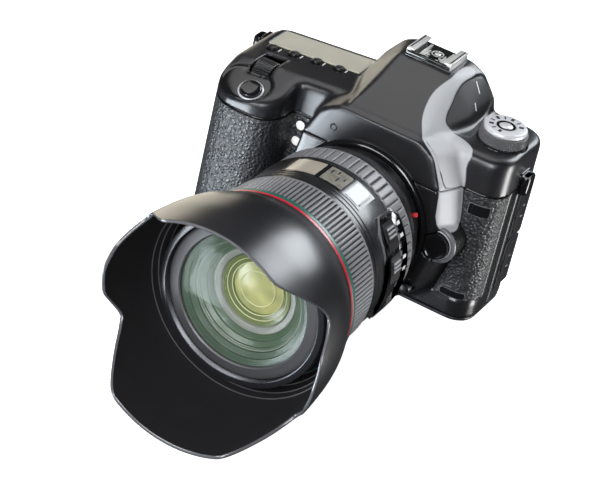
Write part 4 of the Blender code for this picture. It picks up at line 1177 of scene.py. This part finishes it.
def build_release_button():
    place = facing((41.5, -37.0, 42.7), (0, -1, 0))
    lathe("release_key", [(0, 2.7), (4.2, 2.8), (5.6, 3.1), (6.2, 3.45), (6.5, 3.2), (6.6, 2.6),
                          (6.6, -3), (0, -3)], GLOSS_BLACK, "lens_release_button", place, steps=72,
          replaced=["lens_release_button"], slot="button_black")
    lathe("release_collar", [(7.6, 1.2), (7.2, 1.55), (6.95, 1.3), (6.95, -1), (7.6, -1)],
          SILVER_EDGE, "body", place, steps=72)
    # The boss rim is painted grey on the black housing as a painted highlight on its side.
    lathe("release_boss_rim", [(9.5, 0.3), (9.2, 0.9), (8.6, 1.2), (7.9, 1.15), (7.7, 0.8), (7.7, -0.5),
                               (9.5, -0.5)], EDGE_GREY, "body", place, steps=72)


def build_dots():
    """The lamp and the remote sensor under it, each in a thin collar, with covers that glow faintly as
    painted light.
    """
    for name, x, z in (("lamp", -44.0, 64.2), ("sensor", -44.6, 55.4)):
        place = facing((x, -27.0, z), (0, -1, 0))
        lathe(f"{name}_cover", [(0, 0.75), (1.4, 0.65), (2.1, 0.4), (2.4, 0.05), (2.4, -0.8),
                                (0, -0.8)], GLOWING_WHITE_COVER, "body", place, steps=48,
              replaced=["self_timer_lamp"] if name == "lamp" else (), slot="lamp_white")
        lathe(f"{name}_collar", [(2.75, 0.1), (2.5, 0.25), (2.42, -0.5), (2.75, -0.5)], KEY_BLACK,
              "body", place, steps=48)


def build_screws():
    """Small holes and screws on the block round the mount."""
    for number, (x, y, z) in enumerate(((-21.5, -41.0, 79.1), (24.5, -41.0, 64.0)), 1):
        place = facing((x, y, z), (0, -1, 0))
        lathe(f"mount_screw_rim_{number}",
              [(1.9, 0.12), (1.6, 0.3), (1.2, 0.1), (1.2, -0.6), (1.9, -0.6)], KEY_BLACK, "body",
              place, steps=32)
        lathe(f"mount_screw_{number}",
              [(0, -0.05), (0.7, 0.0), (0.95, -0.1), (0.95, -0.5), (0, -0.5)], EDGE_GREY, "body",
              place, steps=24)


def build_badges():
    """Two blank name plates that follow the rounded front corner, left without lettering."""
    for name, x, z, half_wide, half_tall in (("upper", 53.4, 62.0, 5.6, 3.1),
                                             ("lower", 51.4, 14.9, 6.6, 2.0)):
        for piece, grow, lift, paint in (("edge", 0.0, 0.18, EDGE_GREY), ("face", 0.35, 0.32, GLOSS_BLACK)):
            corners = rounded_rectangle(half_wide - grow, half_tall - grow, 0.9, 4, (x, z))
            outline = [(across, -27.0 + 0.35 * max(0.0, across - 54.0), up) for across,
                       up in dense_outline(corners, 1.0)]
            draped(f"plate_{name}_{piece}", outline, lift, paint, "body", [SIDE_TREE])


def build_drawn_lines():
    """The joint that runs down the flank where the pale band is painted on as a painted reflection, and two
    short white dashes on the side panel.
    """
    seam = [(14.8, -23, 100.8), (17.6, -32, 95), (22.5, -38.8, 90.5), (27.2, -39.8, 87.7),
            (32.3, -40.5, 81.4), (35.5, -40.1, 76), (38.0, -37.5, 71.6), (39.4, -34.5, 71.4),
            (42.9, -27.5, 71.2)]
    inset = [(x + 0.9, y + 1.6, z) if z > 72 else (x, y, z) for x, y, z in seam]
    draped("flank_joint", strip_outline(inset[2:], 0.3, BAND_FROM), 0.05, KEY_BLACK, "body",
           [TOP_TREE, FRONT_TREE])
    # Two short white dashes drawn on the side panel.
    for number, (start, end) in enumerate((
            ((23.1, 10.3, 104.7), (26.9, 8.7, 100.2)), ((28, 2.7, 98), (30.2, 1.1, 95)))):
        draped(f"white_dash_{number + 1}", strip_outline([start, end], 0.7, SIDE_PANEL_FROM),
               0.06, WHITE_MARK, "body", [TOP_TREE])


def build_depth_button():
    place = facing((33.0, -41.0, 15.5), (0, -1, 0))
    lathe("depth_key", [(0, 1.3), (2.0, 1.35), (2.6, 1.1), (2.8, 0.5), (2.8, -2), (0, -2)], KEY_BLACK,
          "depth_preview_button", place, steps=40, replaced=["depth_preview_button"], slot="button_black")


def build_mount_collar():
    """Dark steps between the housing and the lens."""
    lathe("mount_collar", [
        (36.5, 41.2), (36.4, 42.6), (35.6, 43.2), (34.4, 43.4), (33.3, 43.4), (33.3, 40.6), (36.5, 40.6)],
        GLOSS_BLACK, "body")


TOP_TREE, FRONT_TREE, SIDE_TREE = [BVHTree.FromObject(thing, bpy.context.evaluated_depsgraph_get())
                                   for thing in (top_housing, front_housing, side_skin)]
build_release_button()
build_dots()
build_screws()
build_badges()
build_drawn_lines()
build_depth_button()
build_mount_collar()


# ---------------------------------------------------------------- back, sides and base


def rear_place(x, z):
    return facing((x, BODY_BACK, z), (0, 1, 0))


def frame_ring(name, sections, paint, body, place, **more):
    """A rounded rectangular ring; each section is half width, half height, corner radius and height."""
    work = bmesh.new()
    rows = []
    for half_wide, half_tall, radius, height in sections:
        outline = rounded_rectangle(half_wide, half_tall, radius, 8)
        rows.append([work.verts.new(place @ (Vector((x, y, height)) * MM)) for x, y in outline])
    for first, second in zip(rows, rows[1:] + rows[:1]):
        for step in range(len(first)):
            after = (step + 1) % len(first)
            work.faces.new((first[step], first[after], second[after], second[step]))
    return add_object(name, finish_mesh(name, work), paint, body, **more)


def build_monitor():
    """Bezel, glass and the dark picture area under it."""
    place = rear_place(11.5, 35.5)
    frame_ring("monitor_bezel", [
        (34.4, 26.4, 1.6, -4.0), (34.4, 26.4, 1.6, 0.3), (34.0, 26.0, 1.4, 0.75), (32.2, 24.2, 1.0, 0.75),
        (31.9, 23.9, 0.9, 0.45), (31.9, 23.9, 0.9, -4.0)], GLOSS_BLACK, "body", place)
    slab("monitor_glass", rounded_rectangle(31.8, 23.8, 0.9, 6), -4.0, 0.5, MONITOR, "body", place, 0.15,
         replaced=["rear_monitor"], slot="monitor_panel")
    slab("monitor_picture", rounded_rectangle(28.6, 20.6, 0.3, 4, (0, 0.8)), 0.4, 0.53, PICTURE,
         "body", place, 0)


def build_rear_keys():
    """Domed keys in shallow rims, each with a small printed mark beside it."""
    keys = [(f"rear_button_{number + 1}", 54, 16 + 10.5 * number, 2.9, 4.9) for number in range(5)]
    keys += [(f"thumb_button_{number}", x, z, 2.2, -4.0)
             for number, (x, z) in enumerate([(-46, 77), (-64, 75), (-76, 72.6)], 1)]
    for name, x, z, radius, mark in keys:
        place = rear_place(x, z)
        lathe(name + "_key", [(0, 0.95), (radius * 0.5, 1.0), (radius - 0.6, 1.2), (radius - 0.15, 1.0),
                              (radius, 0.5), (radius, -2.6), (0, -2.6)], KEY_BLACK, name, place,
              steps=48, replaced=[name], slot="button_black")
        lathe(name + "_rim", [(radius + 1.2, 0.08), (radius + 0.9, 0.3), (radius + 0.4, 0.28),
                              (radius + 0.22, -0.6), (radius + 1.2, -0.6)], GLOSS_BLACK, "body",
              place, steps=48)
        slab(name + "_mark", rounded_rectangle(1.1, 0.22, 0.2, 3, (0, mark)), -0.2, 0.14, WHITE_MARK,
             "body", place, 0)


def build_quick_dial():
    """Wide thumb wheel with a ribbed rim, a bright inner line and a domed key in its middle."""
    place = rear_place(-60, 27)

    def ribs(turn, number):
        return -0.4 * (1 - abs(math.sin(math.pi * turn * 72))) ** 2 if 1 <= number <= 3 else 0.0

    lathe("quick_wheel", [(18.5, 0.3), (19.0, 0.6), (19.0, 1.4), (18.6, 2.1), (17.6, 2.4), (16.2, 2.35),
                          (13.5, 1.75), (10.5, 1.6), (8.6, 1.75), (7.6, 1.65), (7.3, 1.2),
                          (7.3, 0.3)], KEY_BLACK, "quick_dial", place, steps=72 * 6, swell=ribs,
          angle=25, replaced=["quick_dial"], slot="rubber_black")
    lathe("quick_wheel_line", [(15.9, 2.2), (15.6, 2.45), (15.3, 2.2), (15.6, 1.9)], EDGE_GREY,
          "quick_dial", place)
    lathe("set_key", [
        (0, 1.15), (3.0, 1.2), (4.6, 1.5), (5.2, 1.6), (5.6, 1.3), (5.7, 0.6), (5.7, -3), (0, -3)],
        GLOSS_BLACK, "set_button", place, steps=72, replaced=["set_button"], slot="button_black")
    lathe("quick_dial_seat",
          [(20.4, 0.05), (20.0, 0.3), (19.3, 0.25), (19.2, -0.6), (20.4, -0.6)], GLOSS_BLACK, "body", place)


def build_joystick():
    place = rear_place(-52, 57)

    def studs(turn, number):
        return 0.3 * abs(math.sin(math.pi * turn * 12)) if number in (3, 4) else 0.0

    lathe("joystick_cap", [(0, 1.7), (0.9, 1.75), (1.7, 2.2), (2.6, 2.4), (3.0, 2.0), (3.0, 1.3),
                           (2.2, 0.8), (2.0, -2.0), (0, -2.0)], RUBBER, "joystick", place, steps=72,
          swell=studs, replaced=["joystick"], slot="rubber_black")
    lathe("joystick_rim", [(5.4, 0.08), (5.0, 0.5), (4.2, 0.45), (3.6, -0.5), (5.4, -0.5)],
          GLOSS_BLACK, "body", place, steps=64)


def build_power_switch():
    place = rear_place(-44, 6.8)
    lathe("power_hub", [(0, 1.75), (1.6, 1.8), (2.3, 1.6), (2.6, 1.1), (2.6, 0.25), (0, 0.25)],
          KEY_BLACK, "power_switch", place, steps=48, replaced=["power_switch"], slot="button_black")
    slab("power_lever", [(1.2, -1.5), (5.6, -1.25), (6.8, -0.9), (7.1, 0), (6.8, 0.9), (5.6, 1.25),
                         (1.2, 1.5)], 0.35, 1.85, KEY_BLACK, "power_switch", place, 0.3)
    slab("power_ridge", rounded_rectangle(0.25, 0.9, 0.2, 3, (5.9, 0)), 1.8, 2.1, GREY_MARK_AND_RIDGE_HIGHLIGHT,
         "power_switch", place, 0.08)
    for number, (x, z) in enumerate(((8.4, 0.0), (7.2, 4.3)), 1):
        slab(f"power_mark_{number}", rounded_rectangle(0.5, 0.22, 0.2, 3, (x, z)), -0.2, 0.14,
             WHITE_MARK, "body", place, 0)


def build_eyepiece():
    """Soft cup round the finder window, with a stepped recess and coated glass."""
    place = rear_place(PRISM_X, 85)
    frame_ring("eyecup_rubber", [(20.4, 13.4, 5.6, 0.3), (21.0, 14.0, 6.0, 1.0), (20.6, 13.6, 5.8, 3.4),
                                 (20.9, 13.9, 6.0, 4.4), (20.6, 13.6, 5.8, 5.9), (19.8, 12.8, 5.4, 6.5),
                                 (17.4, 10.6, 4.2, 6.3), (15.2, 9.6, 3.2, 5.2), (13.6, 8.4, 2.2, 3.6),
                                 (13.2, 8.1, 2.0, 0.3)], RUBBER, "body", place, replaced=["eyecup"],
               slot="rubber_black")
    frame_ring("finder_frame", [(13.1, 8.0, 1.8, -1.2), (13.1, 8.0, 1.8, 0.6), (12.2, 7.1, 1.4, 0.6),
                                (11.6, 6.6, 1.2, -1.2)], GLOSS_BLACK, "body", place)
    slab("finder_glass", rounded_rectangle(13.4, 8.4, 1.8, 6), -4.6, -1.5, FINDER_GLASS, "body", place, 0.5,
         replaced=["eyepiece_lens"], slot="optical_glass")
    knob = facing((PRISM_X - 25, 19.5, 93), (0, 1, 0))
    lathe("diopter_wheel", [
        (0, 2.2), (1.4, 2.25), (2.3, 2.6), (2.9, 2.4), (3.0, 1.9), (3.0, 0.7), (2.8, 0.2), (0, 0.2)],
        KEY_BLACK, "diopter_knob", knob, steps=120, angle=25, replaced=["diopter_knob"], slot="button_black",
        swell=lambda turn, number: -0.22 * abs(math.sin(math.pi * turn * 20)) if 3 <= number <= 5 else 0.0)
    slab("diopter_mark", rounded_rectangle(0.18, 0.9, 0.15, 3, (0, 1.2)), 2.15, 2.45,
         WHITE_MARK, "diopter_knob", knob, 0)


def build_doors():
    """Card door, two terminal covers and the battery door, each with something to pull it by."""
    card = facing((-87.2, 4.3, 38), (-1, 0, 0))
    slab("card_panel", rounded_rectangle(5.95, 25.6, 1.2, 5), -1.65, 0.0, BODY_PAINT_FINE, "card_door",
         card, 0.45, replaced=["card_door"], slot="satin_black")
    for number in range(4):
        slab(f"card_ridge_{number + 1}", rounded_rectangle(0.25, 6.0, 0.2, 3, (2.2 + 0.9 * number, 0)),
             -0.1, 0.3, BODY_PAINT_FINE, "card_door", card, 0.1)
    for number, (middle, half) in enumerate(((23.25, 13.2), (51.75, 14.2)), 1):
        cover = facing((62.2, 8, middle), (1, 0, 0))
        body = f"terminal_cover_{number}"
        slab(f"terminal_panel_{number}", rounded_rectangle(7.45, half, 1.8, 6), -1.65, 0.0, RUBBER,
             body, cover, 0.5, replaced=[body], slot="rubber_black")
        slab(f"terminal_pad_{number}", rounded_rectangle(5.2, half - 2.6, 1.4, 6, (0.6, 0)), -0.1,
             0.35, RUBBER, body, cover, 0.2)
        slab(f"terminal_tab_{number}", rounded_rectangle(0.5, 3.2, 0.4, 4, (-6.2, 0)), -0.1, 0.55,
             RUBBER, body, cover, 0.2)
        for mark in range(2):
            slab(f"terminal_mark_{number}_{mark + 1}",
                 rounded_rectangle(1.2, 0.3, 0.2, 3, (0.6, 3.0 - 6.0 * mark)), 0.3, 0.42, GREY_MARK_AND_RIDGE_HIGHLIGHT,
                 body, cover, 0)
    battery = facing((-68.5, -24, 0.2), (0, 0, -1))
    slab("battery_panel", rounded_rectangle(12.1, 18.6, 1.4, 5), -2.15, 0.0, BODY_PAINT_FINE,
         "battery_door", battery, 0.3, replaced=["battery_door"], slot="satin_black")
    slab("battery_latch", rounded_rectangle(2.4, 1.6, 0.5, 4, (0, 14.6)), -0.1, 0.16,
         GLOSS_BLACK, "battery_door", battery, 0.1)
    for number in range(3):
        slab(f"battery_ridge_{number + 1}",
             rounded_rectangle(1.6, 0.16, 0.1, 3, (0, 13.9 + 0.7 * number)), 0.1, 0.19,
             GREY_MARK_AND_RIDGE_HIGHLIGHT, "battery_door", battery, 0)


def build_lugs():
    """Strap loops: a round-cornered eye on a small foot."""
    for name, place in (("right", facing((62, -2.5, 72.5), (1, 0, 0))),
                        ("left", facing((-87, 6.5, 77.5), (-1, 0, 0)))):
        upright_eye = place @ Matrix.Rotation(math.radians(90), 4, "X")
        frame_ring(f"lug_loop_{name}", [
            (4.2, 2.3, 1.9, -4.6), (4.5, 2.6, 2.2, -3.8), (4.5, 2.6, 2.2, 3.8), (4.2, 2.3, 1.9, 4.6),
            (3.1, 1.3, 1.0, 4.6), (2.9, 1.1, 0.9, 3.8), (2.9, 1.1, 0.9, -3.8), (3.1, 1.3, 1.0, -4.6)],
            GLOSS_BLACK, "body", upright_eye @ Matrix.Translation((0, 2.1 * MM, 0)),
            replaced=[f"strap_lug_{name}"], slot="dark_metal")
        slab(f"lug_foot_{name}", rounded_rectangle(5.6, 6.0, 1.6, 6), -1.2, 0.55, GLOSS_BLACK, "body",
             place, 0.3)


def build_tripod_socket():
    place = facing((0, -14, 0.1), (0, 0, -1))
    thread = []
    for number in range(9):
        thread.append((3.3 if number % 2 else 2.9, -0.3 - 0.65 * number))
    lathe("tripod_thread",
          [(6.0, -0.15), (5.8, 0.0), (3.5, 0.0)] + thread + [(3.3, -6.1), (6.0, -6.1)], STEEL, "body",
          place, steps=96, replaced=["tripod_socket"], slot="bright_steel")
    lathe("tripod_ring", [(8.2, -0.2), (7.9, 0.06), (6.5, 0.06), (6.2, -0.4), (8.2, -0.4)],
          GLOSS_BLACK, "body", place)


build_monitor()
build_rear_keys()
build_quick_dial()
build_joystick()
build_power_switch()
build_eyepiece()
build_doors()
build_lugs()
build_tripod_socket()


# ---------------------------------------------------------------- the remaining CAD pieces

PLAIN_FINISH = {"satin_black": BODY_PAINT_FINE, "leather_black": LEATHER,
                "rubber_black": RUBBER, "button_black": KEY_BLACK, "bright_steel": STEEL,
                "dark_metal": GLOSS_BLACK, "coated_glass": COATED_GLASS,
                "optical_glass": WINDOW_GLASS, "mirror_coat": SILVER,
                "display_panel": DISPLAY_PANEL, "monitor_panel": MONITOR,
                "sensor_face": MONITOR, "circuit_green": GREEN_BAND,
                "battery_grey": NAME_RING, "shutter_black": DARK_STEEL, "lamp_white": WHITE_MARK}


def finish_cad_pieces():
    """Every CAD node still showing takes the finish of its slot."""
    slots = {entry["node"]: entry["material_slot"] for entry in frame["record"]["subparts"]}
    for name, node in NODES.items():
        if not node.hide_render:
            node.data.materials.clear()
            node.data.materials.append(PLAIN_FINISH[slots[name]])


finish_cad_pieces()
